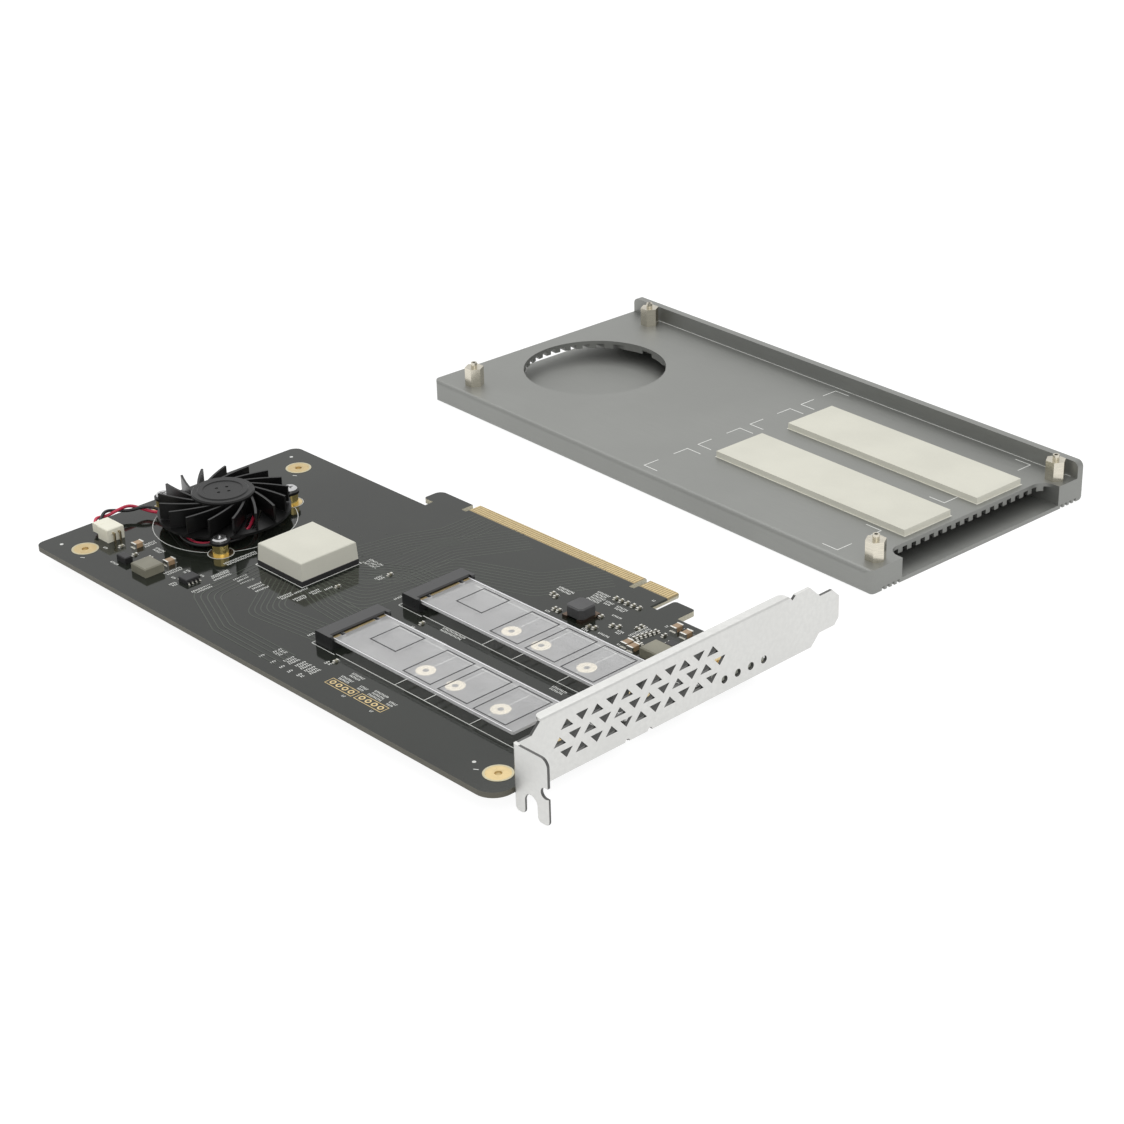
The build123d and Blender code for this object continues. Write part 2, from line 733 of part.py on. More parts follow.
# Impeller: a cup with a stepped cap and swept blades that stand off its side
blade_root = hub_radius - hub_wall / 2
blade_tip = blade_tip_radius * Vector(cos(radians(-blade_sweep)), sin(radians(-blade_sweep)))
blade_run = blade_tip - Vector(blade_root, 0)
blade_middle = Vector(blade_root, 0) + blade_run / 2 + Vector(-blade_run.Y, blade_run.X).normalized() * blade_bow
with BuildSketch() as blade_outline:
    with BuildLine() as blade_line:
        ThreePointArc((blade_root, 0), blade_middle, blade_tip)
    trace(line_width=blade_thickness)

side_view = Plane(origin=(card_x + fan_x, card_y + fan_y, board_top), x_dir=(1, 0, 0), z_dir=(0, -1, 0))
fan_axis = Axis((card_x + fan_x, card_y + fan_y, 0), (0, 0, 1))
with BuildPart() as fan_impeller:
    with BuildSketch(fan_plane(blade_start)):
        with PolarLocations(0, blade_count, blade_phase):
            add(blade_outline.sketch)
    extrude(amount=blade_top - blade_start)
    with BuildSketch(side_view):
        with BuildLine():
            Polyline(
                (0, hub_ceiling),
                (cup_radius, hub_ceiling),
                (cup_radius, hub_start),
                (hub_radius, hub_start),
                (hub_radius, hub_crown - 0.7),
                (hub_radius - 0.4, hub_crown - 0.3),
                (hub_radius - 1.7, hub_crown - 0.3),
                (hub_radius - 2.1, hub_crown),
                (hub_radius - 3.4, hub_crown),
                (hub_radius - 3.7, hub_crown - 0.25),
                (0, hub_crown - 0.25),
                close=True,
            )
        make_face()
    revolve(axis=fan_axis)
    with BuildSketch(fan_plane(hub_ceiling)):
        Circle(cup_radius)
    extrude(amount=-(hub_ceiling - blade_start), mode=Mode.SUBTRACT)
    with BuildSketch(fan_plane(hub_crown)):
        with PolarLocations(2.2, 4, 20):
            Circle(0.5)
    extrude(amount=-0.45, mode=Mode.SUBTRACT)
save(fan_impeller.part, "fan_impeller")

# Header on the board, its pins, and the plug on the fan lead
with BuildPart() as fan_header:
    with BuildSketch(card_plane()):
        with Locations((header_x, header_y)):
            Rectangle(header_length, header_width, align=LOW)
    extrude(amount=header_height)
    with BuildSketch(card_plane(plug_lift)):
        with Locations((header_x, header_y + header_width / 2)):
            Rectangle(header_length * 0.55, header_width - 1.4, align=(Align.MIN, Align.CENTER))
    extrude(amount=header_height - plug_lift - 0.6, mode=Mode.SUBTRACT)
    chamfer(fan_header.edges().group_by(Axis.Z)[-1], 0.25)
save(fan_header.part, "fan_header")

pin_line = header_y + header_width / 2
with BuildPart() as header_pins:
    for side in (-1, 1):
        pin_face = card_y + pin_line + side * header_pin_pitch / 2 + header_pin / 2
        with BuildSketch(Plane(origin=(card_x + header_x + header_length, pin_face, board_top),
                               x_dir=(1, 0, 0), z_dir=(0, -1, 0))):
            Rectangle(header_pin_reach, header_pin_rise, align=LOW)
            Rectangle(header_pin_reach - header_pin, header_pin_rise - header_pin, align=LOW,
                      mode=Mode.SUBTRACT)
        extrude(amount=header_pin)
save(header_pins.part, "header_pins")

plug_clearance = 0.1
with BuildPart() as fan_plug:
    with BuildSketch(card_plane(plug_lift + plug_clearance)):
        with Locations((header_x, pin_line)):
            Rectangle(plug_length, header_width - 0.4, align=(Align.MAX, Align.CENTER))
    extrude(amount=plug_height - 2 * plug_clearance)
    with BuildSketch(card_plane(plug_lift + plug_clearance)):
        with Locations((header_x, pin_line)):
            Rectangle(header_length * 0.55, header_width - 1.4 - 2 * plug_clearance,
                      align=(Align.MIN, Align.CENTER))
    extrude(amount=header_height - plug_lift - 0.6 - 2 * plug_clearance)
save(fan_plug.part, "fan_plug")

# Fan lead: the pair's middle line from under the motor, out past the near post, back under the
# blades and round to the plug, in card sizes
lead_route = (
    (34.6, 57.3, 3.7),
    (39.6, 52.8, 3.45),
    (43.7, 47.9, 2.85),
    (45.2, 42.4, 2.2),
    (41.9, 37.3, 1.7),
    (39.4, 32.5, 1.5),
    (33.8, 31.5, 1.6),
    (27.8, 33.5, 2.1),
    (22.0, 35.2, 2.1),
    (17.4, 36.9, 1.8),
)
tail_route = (
    (14.0, 37.7, 1.7),
    (10.4, 36.9, 2.1),
    (7.3, 34.5, 2.7),
    (5.1, 31.1, 3.1),
    (3.8, 27.3, 3.2),
    (3.2, 23.6, 3.1),
    (4.0, 20.4, 2.9),
)
plug_face = header_x - plug_length
lead_section = lead_diameter / 2 * (2 * pi / lead_side_count / sin(2 * pi / lead_side_count)) ** 0.5
lead_height = plug_lift + plug_height / 2


def lead_points(side):
    """One strand of the pair: beside its partner under the fan, then twisted round it."""
    points = []
    for index, point in enumerate(lead_route):
        before = Vector(*lead_route[max(index - 1, 0)])
        after = Vector(*lead_route[min(index + 1, len(lead_route) - 1)])
        across = (after - before).cross(Vector(0, 0, 1)).normalized()
        points.append(Vector(*point) + across * (side * lead_twist_radius))
    whole = (Vector(*lead_route[-1]),) + tuple(Vector(*point) for point in tail_route)
    for index, point in enumerate(whole[1:], start=1):
        after = whole[min(index + 1, len(whole) - 1)]
        along = (after - whole[index - 1]).normalized()
        across = along.cross(Vector(0, 0, 1)).normalized()
        upward = across.cross(along)
        turn = 2 * pi * lead_turn_count * index / len(tail_route)
        points.append(point + (across * cos(turn) + upward * sin(turn)) * (side * lead_twist_radius))
    strand_line = pin_line - side * header_pin_pitch / 2
    points.append(Vector(plug_face - lead_straight, strand_line, lead_height))
    points.append(Vector(plug_face, strand_line, lead_height))
    return points


def lead_tube(side):
    """A tube of straight runs and tangent arcs through one strand's points."""
    points = [Vector(card_x, card_y, board_top) + point for point in lead_points(side)]
    radii = []
    for before, at, after in zip(points, points[1:], points[2:]):
        half = radians((at - before).get_angle(after - at)) / 2
        radii.append(0.45 * min((at - before).length, (after - at).length) / tan(half))
    print("lead radii", [round(radius, 1) for radius in radii])
    with BuildPart() as tube:
        with BuildLine() as path:
            FilletPolyline(*points, radius=radii)
        with BuildSketch(Plane(origin=path.line @ 0, z_dir=path.line % 0)):
            RegularPolygon(lead_section, lead_side_count)
        sweep()
    print("lead length", round(path.wire().length, 1), "volume", round(tube.part.volume, 2))
    return tube.part


save(lead_tube(1), "fan_lead_red")
save(lead_tube(-1), "fan_lead_black")


def far_spot(inset):
    """A place given by its distances from the board's bracket end and its far edge, in card sizes."""
    return (board_length - inset[0], board_width - inset[1])


def soldered_blocks(spots, length, width, height, rim=0.0):
    """Like blocks that stand on the board, at card sizes (x, y, turn)."""
    with BuildPart() as blocks:
        for x, y, turn in spots:
            with BuildSketch(card_plane()):
                with Locations(Location((x, y), turn)):
                    Rectangle(length, width)
            extrude(amount=height)
        if rim:
            chamfer(blocks.edges().group_by(Axis.Z)[-1], rim)
    return blocks.part


# Soldered parts, by kind
save(soldered_blocks(((*coil_near_spot, 0),), *coil_near_size, 0.35), "coil_near")
save(soldered_blocks(((*far_spot(coil_far_spot), 0),), *coil_far_size, 0.35), "coil_far")
save(soldered_blocks(((*diode_spot, 0),), *diode_size, 0.25), "diode")
capacitor_places = [(*spot, 90) for spot in capacitor_spots] + [
    (*far_spot(spot), 90) for spot in capacitor_far_spots]
save(soldered_blocks(capacitor_places, *capacitor_size, 0.15), "ceramic_capacitors")
small_places = [(*spot, 90) for spot in small_spots] + [(*spot, 0) for spot in small_level_spots]
small_places += [(*far_spot(spot), 90) for spot in small_far_spots]
small_places += [(chip_x + reach, chip_y + rise, 90) for reach, rise in small_chip_spots]
small_places += [(*far_spot(spot), 0) for spot in small_far_level_spots]
save(soldered_blocks(small_places, *small_size), "small_parts")

# The power coil in the middle stands on an open copper frame, its top corners cut off
with BuildPart() as coil_frame:
    with BuildSketch(card_plane()):
        with Locations(far_spot(coil_middle_spot)):
            Rectangle(coil_frame_size, coil_frame_size)
            Rectangle(coil_frame_size / 2, coil_frame_size + 1, mode=Mode.SUBTRACT)
    extrude(amount=coil_frame_height)
save(coil_frame.part, "coil_frame")

with BuildPart() as coil_middle:
    with BuildSketch(card_plane(coil_frame_height)) as plan:
        with Locations(far_spot(coil_middle_spot)):
            Rectangle(coil_middle_size, coil_middle_size)
        chamfer(plan.vertices(), coil_middle_size * 0.16)
    extrude(amount=coil_middle_height)
    chamfer(coil_middle.edges().group_by(Axis.Z)[-1], 0.4)
save(coil_middle.part, "coil_middle")


def leaded_chip(body_name, legs_name, spot, size, leg_count):
    """A chip with a row of bent legs along each side: size is across the legs, along them, height."""
    x, y = spot
    save(soldered_blocks(((x, y, 0),), *size, 0.2), body_name)
    with BuildPart() as chip_legs:
        for side in (-1, 1):
            with BuildSketch(card_plane()):
                with Locations((x + side * (size[0] + chip_leg_reach) / 2, y)):
                    with GridLocations(0, chip_leg_pitch, 1, leg_count):
                        Rectangle(chip_leg_reach, chip_leg_width)
            extrude(amount=chip_leg_height)
            with BuildSketch(card_plane(chip_foot_height)):
                with Locations((x + side * (size[0] / 2 + chip_leg_reach * 0.75), y)):
                    with GridLocations(0, chip_leg_pitch, 1, leg_count):
                        Rectangle(chip_leg_reach / 2, chip_leg_width)
            extrude(amount=chip_leg_height, mode=Mode.SUBTRACT)
    save(chip_legs.part, legs_name)


leaded_chip("memory_chip", "memory_legs", memory_spot, memory_size, memory_leg_count)
leaded_chip("power_chip", "power_legs", far_spot(power_spot), power_size, power_leg_count)

# Two rows of plated holes for test headers, shown as rings on the board
with BuildPart() as test_pads:
    with BuildSketch(card_plane()):
        for centre in test_row_ends:
            with Locations((board_length - centre, test_line)):
                with GridLocations(test_pitch, 0, test_count, 1):
                    Circle(test_ring / 2)
                    Circle(test_hole / 2, mode=Mode.SUBTRACT)
    extrude(amount=pad_film)
save(test_pads.part, "test_pads")

# Cover body: the profile is drawn across the cover and run along its length
profile_turn = cover_plane()
profile_plane = Plane(origin=profile_turn.origin, x_dir=profile_turn.y_dir, z_dir=profile_turn.x_dir)
duct_width = cover_width - rail_near - rail_far
duct_height = cover_height - cover_floor - cover_plate
fin_count = int((duct_width - fin_width) / fin_pitch) + 1
fin_start = rail_near + (duct_width - (fin_count - 1) * fin_pitch) / 2
fin_base = cover_height - cover_plate
standoff_spots = [(standoff_x + i * corner_hole_span_x, standoff_y + j * corner_hole_span_y)
                  for i in (0, 1) for j in (0, 1)]
with BuildPart() as cover_body:
    with BuildSketch(profile_plane) as profile:
        Rectangle(cover_width, cover_height, align=LOW)
        with Locations((cover_width, 0)):
            Rectangle(lip_thickness, lip_height, align=(Align.MAX, Align.MIN))
        fillet(profile.vertices().group_by(Axis.X)[0], cover_edge)
        fillet(profile.vertices().group_by(Axis.X)[-1].sort_by(Axis.Y)[0], cover_foot_edge)
        with Locations((rail_near, cover_floor)):
            Rectangle(duct_width, duct_height, align=LOW, mode=Mode.SUBTRACT)
        with Locations((fin_start, fin_base)):
            for step in range(fin_count):
                with Locations((step * fin_pitch, 0)):
                    Rectangle(fin_width, fin_height, align=(Align.CENTER, Align.MAX))
        for first in (rail_near - foot_groove_count * foot_groove_pitch, cover_width - rail_far + 1.0):
            for step in range(foot_groove_count):
                with Locations((first + step * foot_groove_pitch, 0)):
                    Rectangle(foot_groove, foot_groove, align=(Align.MIN, Align.MIN), mode=Mode.SUBTRACT)
    extrude(amount=cover_length)
    with BuildSketch(cover_plane(cover_floor)):
        with Locations((fan_opening_x, fan_opening_y)):
            Circle(fan_opening / 2)
    extrude(amount=cover_height, mode=Mode.SUBTRACT)
    with BuildSketch(cover_plane(cover_floor)) as mouth:
        with Locations((cover_length + mouth_corner, rail_near)):
            Rectangle(mouth_depth + mouth_corner, duct_width, align=(Align.MAX, Align.MIN))
        fillet(mouth.vertices().group_by(Axis.X)[0], mouth_corner)
    extrude(amount=cover_height, mode=Mode.SUBTRACT)
    with BuildSketch(cover_plane()) as plan:
        Rectangle(cover_length, cover_width, align=LOW)
        fillet(plan.vertices().group_by(Axis.Y)[0], cover_corner)
    extrude(amount=lip_height, mode=Mode.INTERSECT)
    with BuildSketch(cover_plane(cover_height)):
        with Locations(*standoff_spots):
            Circle(standoff_stud / 2)
    extrude(amount=-standoff_stud_length, mode=Mode.SUBTRACT)
    across_rims = cover_body.edges().filter_by(lambda edge: edge.center().Z > lip_height - 0.01
                                               and abs(edge.length - lip_thickness) < 0.01)
    fillet(across_rims, lip_corner)
save(cover_body.part, "cover_body")

# Cover standoffs: hexagons with tubular tips, screwed into the rails by their studs
with BuildPart() as cover_standoffs:
    with BuildSketch(cover_plane(cover_height)):
        with Locations(*standoff_spots):
            RegularPolygon(standoff_across / 2, 6, major_radius=False)
    extrude(amount=standoff_height)
    with BuildSketch(cover_plane(cover_height + standoff_height)):
        with Locations(*standoff_spots):
            Circle(standoff_tip / 2)
            Circle(standoff_bore / 2, mode=Mode.SUBTRACT)
    extrude(amount=standoff_tip_height)
    with BuildSketch(cover_plane(cover_height)):
        with Locations(*standoff_spots):
            Circle(standoff_stud / 2)
    extrude(amount=-standoff_stud_length)
save(cover_standoffs.part, "cover_standoffs")

for place, line in (("near", cover_pad_near), ("far", cover_pad_far)):
    with BuildPart() as cover_pad:
        with BuildSketch(cover_plane(cover_height)):
            with Locations((cover_pad_x, line)):
                Rectangle(cover_pad_length, cover_pad_width, align=(Align.MIN, Align.CENTER))
        extrude(amount=cover_pad_thickness)
    save(cover_pad.part, f"cover_pad_{place}")
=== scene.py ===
"""Looks of an expansion card for solid-state modules, with its finned cover laid behind it."""

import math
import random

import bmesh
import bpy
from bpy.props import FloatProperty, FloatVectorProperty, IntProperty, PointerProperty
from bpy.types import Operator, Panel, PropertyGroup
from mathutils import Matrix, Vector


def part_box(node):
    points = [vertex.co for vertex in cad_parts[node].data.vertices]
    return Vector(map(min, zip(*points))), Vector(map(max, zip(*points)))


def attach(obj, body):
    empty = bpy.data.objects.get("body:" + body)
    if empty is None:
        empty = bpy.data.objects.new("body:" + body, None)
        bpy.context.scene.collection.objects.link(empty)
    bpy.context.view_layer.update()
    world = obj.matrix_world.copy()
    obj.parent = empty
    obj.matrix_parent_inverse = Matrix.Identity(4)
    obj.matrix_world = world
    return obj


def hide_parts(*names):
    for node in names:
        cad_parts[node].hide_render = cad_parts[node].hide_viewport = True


bl_info = {
    "name": "Adapter Card Looks",
    "version": (1, 0, 0),
    "blender": (4, 5, 0),
    "location": "View3D > Sidebar > Adapter Card",
    "description": "Finishes, marks, leads, small fittings and studio of an adapter card and its cover",
    "category": "Object",
}

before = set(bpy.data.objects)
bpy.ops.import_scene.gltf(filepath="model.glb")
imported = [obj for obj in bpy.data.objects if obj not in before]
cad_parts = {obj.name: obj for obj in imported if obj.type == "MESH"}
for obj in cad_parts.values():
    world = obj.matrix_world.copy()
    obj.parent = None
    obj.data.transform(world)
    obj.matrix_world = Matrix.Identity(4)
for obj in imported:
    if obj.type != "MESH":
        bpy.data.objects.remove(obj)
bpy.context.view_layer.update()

MM = 0.001
CARD_BODY = "card"

# Thickness of a printed film and its gap over the surface below, in millimetres
FILM = 0.03
LIFT = 0.005

# Card sizes run from the board's near left corner, heights from its top face, in millimetres
BOARD_LOW, BOARD_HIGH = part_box("pcb")
CARD = Vector((BOARD_LOW.x, BOARD_LOW.y, BOARD_HIGH.z))
BOARD_LENGTH = (BOARD_HIGH.x - BOARD_LOW.x) / MM
BOARD_THICKNESS = (BOARD_HIGH.z - BOARD_LOW.z) / MM

# The cover lies a little askew: its frame follows from the near thermal pad and that pad's inset
COVER_TURN = math.radians(-2.56)
COVER_SPIN = Matrix.Rotation(COVER_TURN, 3, "Z")
COVER_PAD_INSET = (113.2, 24.3)
COVER_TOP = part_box("cover_pad_near")[0].z / MM


def pad_size(node):
    """Length and width of a thermal pad in millimetres, from the box round it as it lies askew."""
    low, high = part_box(node)
    across, along = abs(math.sin(COVER_TURN)), math.cos(COVER_TURN)
    span = (high - low) / MM
    spread = along * along - across * across
    return (span.x * along - span.y * across) / spread, (span.y * along - span.x * across) / spread


def pad_corner(node):
    """The near left corner of a thermal pad, in the row frame at height zero."""
    low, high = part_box(node)
    return Vector((low.x, high.y - pad_size(node)[1] * math.cos(COVER_TURN) * MM, 0))


COVER = pad_corner("cover_pad_near") - COVER_SPIN @ Vector((*COVER_PAD_INSET, 0)) * MM


def on_card(x, y, z=0.0):
    """A point at card sizes, in the row frame."""
    return CARD + Vector((x, y, z)) * MM


def on_cover(x, y, z=0.0):
    """A point at cover sizes, heights from the floor, in the row frame."""
    return COVER + COVER_SPIN @ Vector((x, y, z)) * MM


# Places on the card, in card sizes
FAN = (28.4, 49.6)
FAN_POST_REACH = 22.2
FAN_POSTS = tuple(
    (FAN[0] + FAN_POST_REACH * math.cos(turn), FAN[1] + FAN_POST_REACH * math.sin(turn))
    for turn in (math.radians(-40 + 120 * step) for step in range(3))
)
CHIP = (69.8, 48.9)
CHIP_OUTLINE = 10.95
MODULE_ROWS = (30.8, 61.9)
MODULE_DATUM = 113.6
MODULE_STEPS = (30.0, 42.0, 60.0, 80.0)
SOCKET_START, SOCKET_END = 109.0, 119.0
BLANK_END = (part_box("module_blank_near")[1].x - CARD.x) / MM
CORNER_PAD_REACH = 4.05

# From the board's end to the bracket's sheet, and from where the laminate at the board's rim is painted
# paler as a highlight for the sky its edges by the tab reflect
BRACKET_GAP = 1.4
RIM_HIGHLIGHT_FROM = 93.0

# The duct under the cover's inner plate, where shade is painted on its fins and floor, in cover sizes: along
# it, across its fins and floor, and upwards
DUCT_START, DUCT_MOUTH = 60.0, 195.0
DUCT_FINS = (7.0, 82.0)
DUCT_FLOOR = (3.0, 86.0)
FLOOR_SKIN, FIN_FOOT, PLATE_SKIN = 1.2, 2.2, 0.6


def colour_property(name, description, default):
    """A colour that can be changed in the sidebar."""
    return FloatVectorProperty(name=name, description=description, subtype="COLOR", default=default,
                               min=0, max=1)


def angle_property(name, description, degrees):
    """An angle that can be changed in the sidebar."""
    return FloatProperty(name=name, description=description, subtype="ANGLE", default=math.radians(degrees))


class CardColours(PropertyGroup):
    """Finishes of the card."""

    board: colour_property("Board", "Solder resist", (0.014, 0.0165, 0.0125))
    board_edge: colour_property("Board edge", "Bare laminate at the rim", (0.40, 0.38, 0.30))
    gold: colour_property("Gold", "Plated contacts and rings", (0.69, 0.54, 0.285))
    print_white: colour_property("Print", "White printed marks", (0.74, 0.75, 0.72))
    bracket: colour_property("Bracket", "Satin nickel on steel", (0.72, 0.72, 0.70))
    fan: colour_property("Fan", "Moulded blower plastic", (0.006, 0.006, 0.006))
    blank: colour_property("Module blanks", "See-through grey sheet", (0.97, 0.97, 0.975))
    blank_cover: FloatProperty(
        name="Blank cover", description="How much they hide", subtype="FACTOR", default=0.30, min=0, max=1
    )


class CoverColours(PropertyGroup):
    """Finishes of the cover."""

    metal: colour_property("Metal", "Brushed grey aluminium", (0.30, 0.305, 0.29))
    gum: colour_property("Thermal pads", "Soft cream sheet", (0.70, 0.69, 0.60))
    nickel: colour_property("Standoffs", "Warm nickel plating", (0.70, 0.66, 0.56))


class ViewSettings(PropertyGroup):
    """Where the camera stands."""

    azimuth: angle_property("Azimuth", "Bearing of the camera", 47.36)
    elevation: angle_property("Elevation", "Height of the camera", 26.45)
    roll: angle_property("Roll", "Lean of the camera", -1.61)
    distance: FloatProperty(
        name="Distance", description="From the aim", subtype="DISTANCE", unit="LENGTH", default=0.73212
    )
    lens: FloatProperty(name="Lens", description="Focal length", default=80.63, min=10, max=300)
    aim_x: FloatProperty(name="Aim X", description="Aimed point along the board", default=122.54)
    aim_y: FloatProperty(name="Aim Y", description="Aimed point across the board", default=100.97)


class StageSettings(PropertyGroup):
    """Floor and lights."""

    floor_size: FloatProperty(
        name="Floor", description="Its side", subtype="DISTANCE", unit="LENGTH", default=6.0, min=1
    )
    sky_level: FloatProperty(name="Sky", description="Level of the even light", default=0.80, min=0, max=4)
    key_level: FloatProperty(name="Key", description="Main lamp in watts", default=3.6, min=0)
    fill_level: FloatProperty(name="Fill", description="Side lamp in watts", default=2.0, min=0)


class PrintSettings(PropertyGroup):
    """Sizes of the printed marks."""

    line: FloatProperty(name="Line", description="Printed line in millimetres", default=0.22, min=0.05)
    trace: FloatProperty(name="Trace", description="Copper trace in millimetres", default=0.38, min=0.05)
    via_count: IntProperty(name="Vias", description="Small plated holes near the chip", default=70, min=0)


class Value:
    """A socket that takes Python arithmetic and adds the Math nodes for it."""

    def __init__(self, nodes, socket):
        self.nodes = nodes
        self.socket = socket

    def math(self, operation, *others):
        """The result of a Math node with this value first."""
        return self.nodes.value("ShaderNodeMath", {"operation": operation}, (self, *others))

    def flipped(self, operation, other):
        """The result of a Math node with this value second."""
        return self.nodes.value("ShaderNodeMath", {"operation": operation}, (other, self))

    def __add__(self, other):
        return self.math("ADD", other)

    __radd__ = __add__

    def __sub__(self, other):
        return self.math("SUBTRACT", other)

    def __rsub__(self, other):
        return self.flipped("SUBTRACT", other)

    def __mul__(self, other):
        return self.math("MULTIPLY", other)

    __rmul__ = __mul__

    def __truediv__(self, other):
        return self.math("DIVIDE", other)

    def __rtruediv__(self, other):
        return self.flipped("DIVIDE", other)

    def __lt__(self, other):
        return self.math("LESS_THAN", other)

    def __gt__(self, other):
        return self.math("GREATER_THAN", other)

    def __abs__(self):
        return self.math("ABSOLUTE")

    def __mod__(self, other):
        return self.math("FLOORED_MODULO", other)

    def within(self, low, high):
        """One where this length lies between two limits in millimetres."""
        return (self > low * MM) * (self < high * MM)

    def ramp(self, low, high, to_low=0.0, to_high=1.0):
        """This value mapped smoothly from one range to another."""
        limits = {"From Min": low, "From Max": high, "To Min": to_low, "To Max": to_high}
        return self.nodes.value("ShaderNodeMapRange", {"interpolation_type": "SMOOTHSTEP"},
                                {"Value": self, **limits}, "Result")


class Nodes:
    """The node tree of a material or of the world."""

    def __init__(self, owner):
        owner.use_nodes = True
        self.tree = owner.node_tree
        self.tree.nodes.clear()

    def put(self, socket, value):
        """Give a socket a value, a colour or a link."""
        if isinstance(value, Value):
            self.tree.links.new(value.socket, socket)
        elif isinstance(value, bpy.types.NodeSocket):
            self.tree.links.new(value, socket)
        elif hasattr(value, "__len__") and len(value) == 3 and len(socket.default_value) == 4:
            socket.default_value = (*value, 1.0)
        else:
            socket.default_value = value

    def node(self, kind, settings=None, inputs=()):
        """Add a node: its settings first, then values or links by name or in order."""
        node = self.tree.nodes.new(kind)
        for key, value in (settings or {}).items():
            setattr(node, key, value)
        for key, value in inputs.items() if isinstance(inputs, dict) else enumerate(inputs):
            self.put(node.inputs[key.replace("_", " ") if isinstance(key, str) else key], value)
        return node

    def value(self, kind, settings, inputs, output=0):
        """The number that a new node gives out."""
        return Value(self, self.node(kind, settings, inputs).outputs[output])


class Finish(Nodes):
    """A material made of nodes, with one Principled shader."""

    def __init__(self, name, **constants):
        self.material = bpy.data.materials.new(name)
        super().__init__(self.material)
        self.shader = self.node("ShaderNodeBsdfPrincipled", inputs=constants)
        self.node("ShaderNodeOutputMaterial", inputs={"Surface": self.shader.outputs[0]})

    def place(self):
        """Object coordinates, which are the row frame's at rest."""
        return self.node("ShaderNodeTexCoord").outputs["Object"]

    def axes(self, vector):
        """The three parts of a vector."""
        parts = self.node("ShaderNodeSeparateXYZ", inputs=(vector,))
        return [Value(self, output) for output in parts.outputs]

    def facing(self):
        """The three parts of the surface's own direction."""
        return self.axes(self.node("ShaderNodeNewGeometry").outputs["Normal"])

    def scaled(self, vector, x, y, z, turn=0.0):
        """Coordinates turned about Z and stretched, for streaks and grain."""
        node = self.node("ShaderNodeMapping", {"vector_type": "POINT"},
                         {"Vector": vector, "Rotation": (0, 0, turn), "Scale": (x, y, z)})
        return node.outputs[0]

    def noise(self, vector, scale, detail=3.0, roughness=0.5):
        """Cloudy noise from 0 to 1."""
        return self.value("ShaderNodeTexNoise", None,
                          {"Vector": vector, "Scale": scale, "Detail": detail, "Roughness": roughness})

    def mix(self, factor, first, second):
        """A mixed colour."""
        return self.node("ShaderNodeMix", {"data_type": "RGBA"}, {0: factor, 6: first, 7: second}).outputs[2]

    def mottle(self, noise, colour, darkest, palest, low=0.3, high=0.7):
        """A colour that noise takes between two of its shades."""
        return self.mix(noise.ramp(low, high), tint(colour, darkest), tint(colour, palest))

    def bump(self, height, strength, distance):
        """A normal from a height, the distance being in millimetres."""
        node = self.node("ShaderNodeBump", None,
                         {"Strength": strength, "Distance": distance * MM, "Height": height})
        return node.outputs[0]

    def feed(self, **links):
        """Link what changes over the surface to the shader."""
        for key, value in links.items():
            self.put(self.shader.inputs[key.replace("_", " ")], value)
        return self.material


def tint(colour, gain):
    """A colour made lighter or darker."""
    return tuple(min(1.0, part * gain) for part in colour)


def board_finish(colours):
    """Dark glossy resist over copper, with the bare laminate's layers at the rim and a painted highlight on
    the rim by the tab.
    """
    finish = Finish("board_resist", IOR=1.5)
    place = finish.place()
    x, y, z = finish.axes(place)
    rim = abs(finish.facing()[2]) < 0.5
    cloud = finish.noise(place, 22.0, 4.0)
    fine = finish.noise(place, 900.0, 2.0)
    resist = finish.mottle(cloud, colours.board, 0.86, 1.18, 0.35, 0.65)
    resist = finish.mix(fine.ramp(0.3, 0.8, 0.0, 0.25), resist, tint(colours.board, 1.6))
    low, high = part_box("edge_contacts")
    margin, layer = 0.9 * MM, 0.26 * MM
    tab = (y > low.y - margin / 3) * (x > low.x - margin) * (x < high.x + margin)
    resist = finish.mix(tab, resist, tint(colours.gold, 0.45))
    layers = ((z / layer) % 1.0).ramp(0.2, 0.5)
    grain = finish.noise(finish.scaled(place, 1.0, 1.0, 6.0), 700.0)
    shades = tint(colours.board_edge, 0.12), tint(colours.board_edge, 0.42)
    laminate = finish.mix(layers * 0.5 + grain * 0.4, *shades)
    # Painted highlight: the laminate at the rim turns paler towards the tab, for the sky that its edges
    # reflect
    pale = (y - (CARD.y + RIM_HIGHLIGHT_FROM * MM)).ramp(0.0, 1.0 * MM)
    laminate = finish.mix(pale, laminate, tint(colours.board_edge, 1.5))
    weave = finish.noise(place, 1400.0, 2.0)
    return finish.feed(
        Base_Color=finish.mix(rim, resist, laminate),
        Roughness=rim * 0.45 + (cloud * 0.05 + 0.06),
        Normal=finish.bump(weave, 0.12, 0.02),
    )


def duct_painted_shade(finish, place):
    """Painted shade for the cover's duct: one on the fins deep in it, zero at its mouth and on every outer
    face.
    """
    x, y, z = finish.axes(place)
    across, along = math.sin(COVER_TURN), math.cos(COVER_TURN)
    reach = (x - COVER.x) * along + (y - COVER.y) * across
    side = (y - COVER.y) * along - (x - COVER.x) * across
    depth = DUCT_MOUTH * MM - reach
    fins = side.within(*DUCT_FINS) * z.within(FIN_FOOT, COVER_TOP - PLATE_SKIN)
    floor = side.within(*DUCT_FLOOR) * z.within(FLOOR_SKIN, FIN_FOOT)
    # Painted shade that deepens into the duct, on its fins and its floor
    dark = fins * depth.ramp(0.4 * MM, 3.0 * MM) + floor * depth.ramp(4.0 * MM, 20.0 * MM)
    return dark * (reach > DUCT_START * MM)


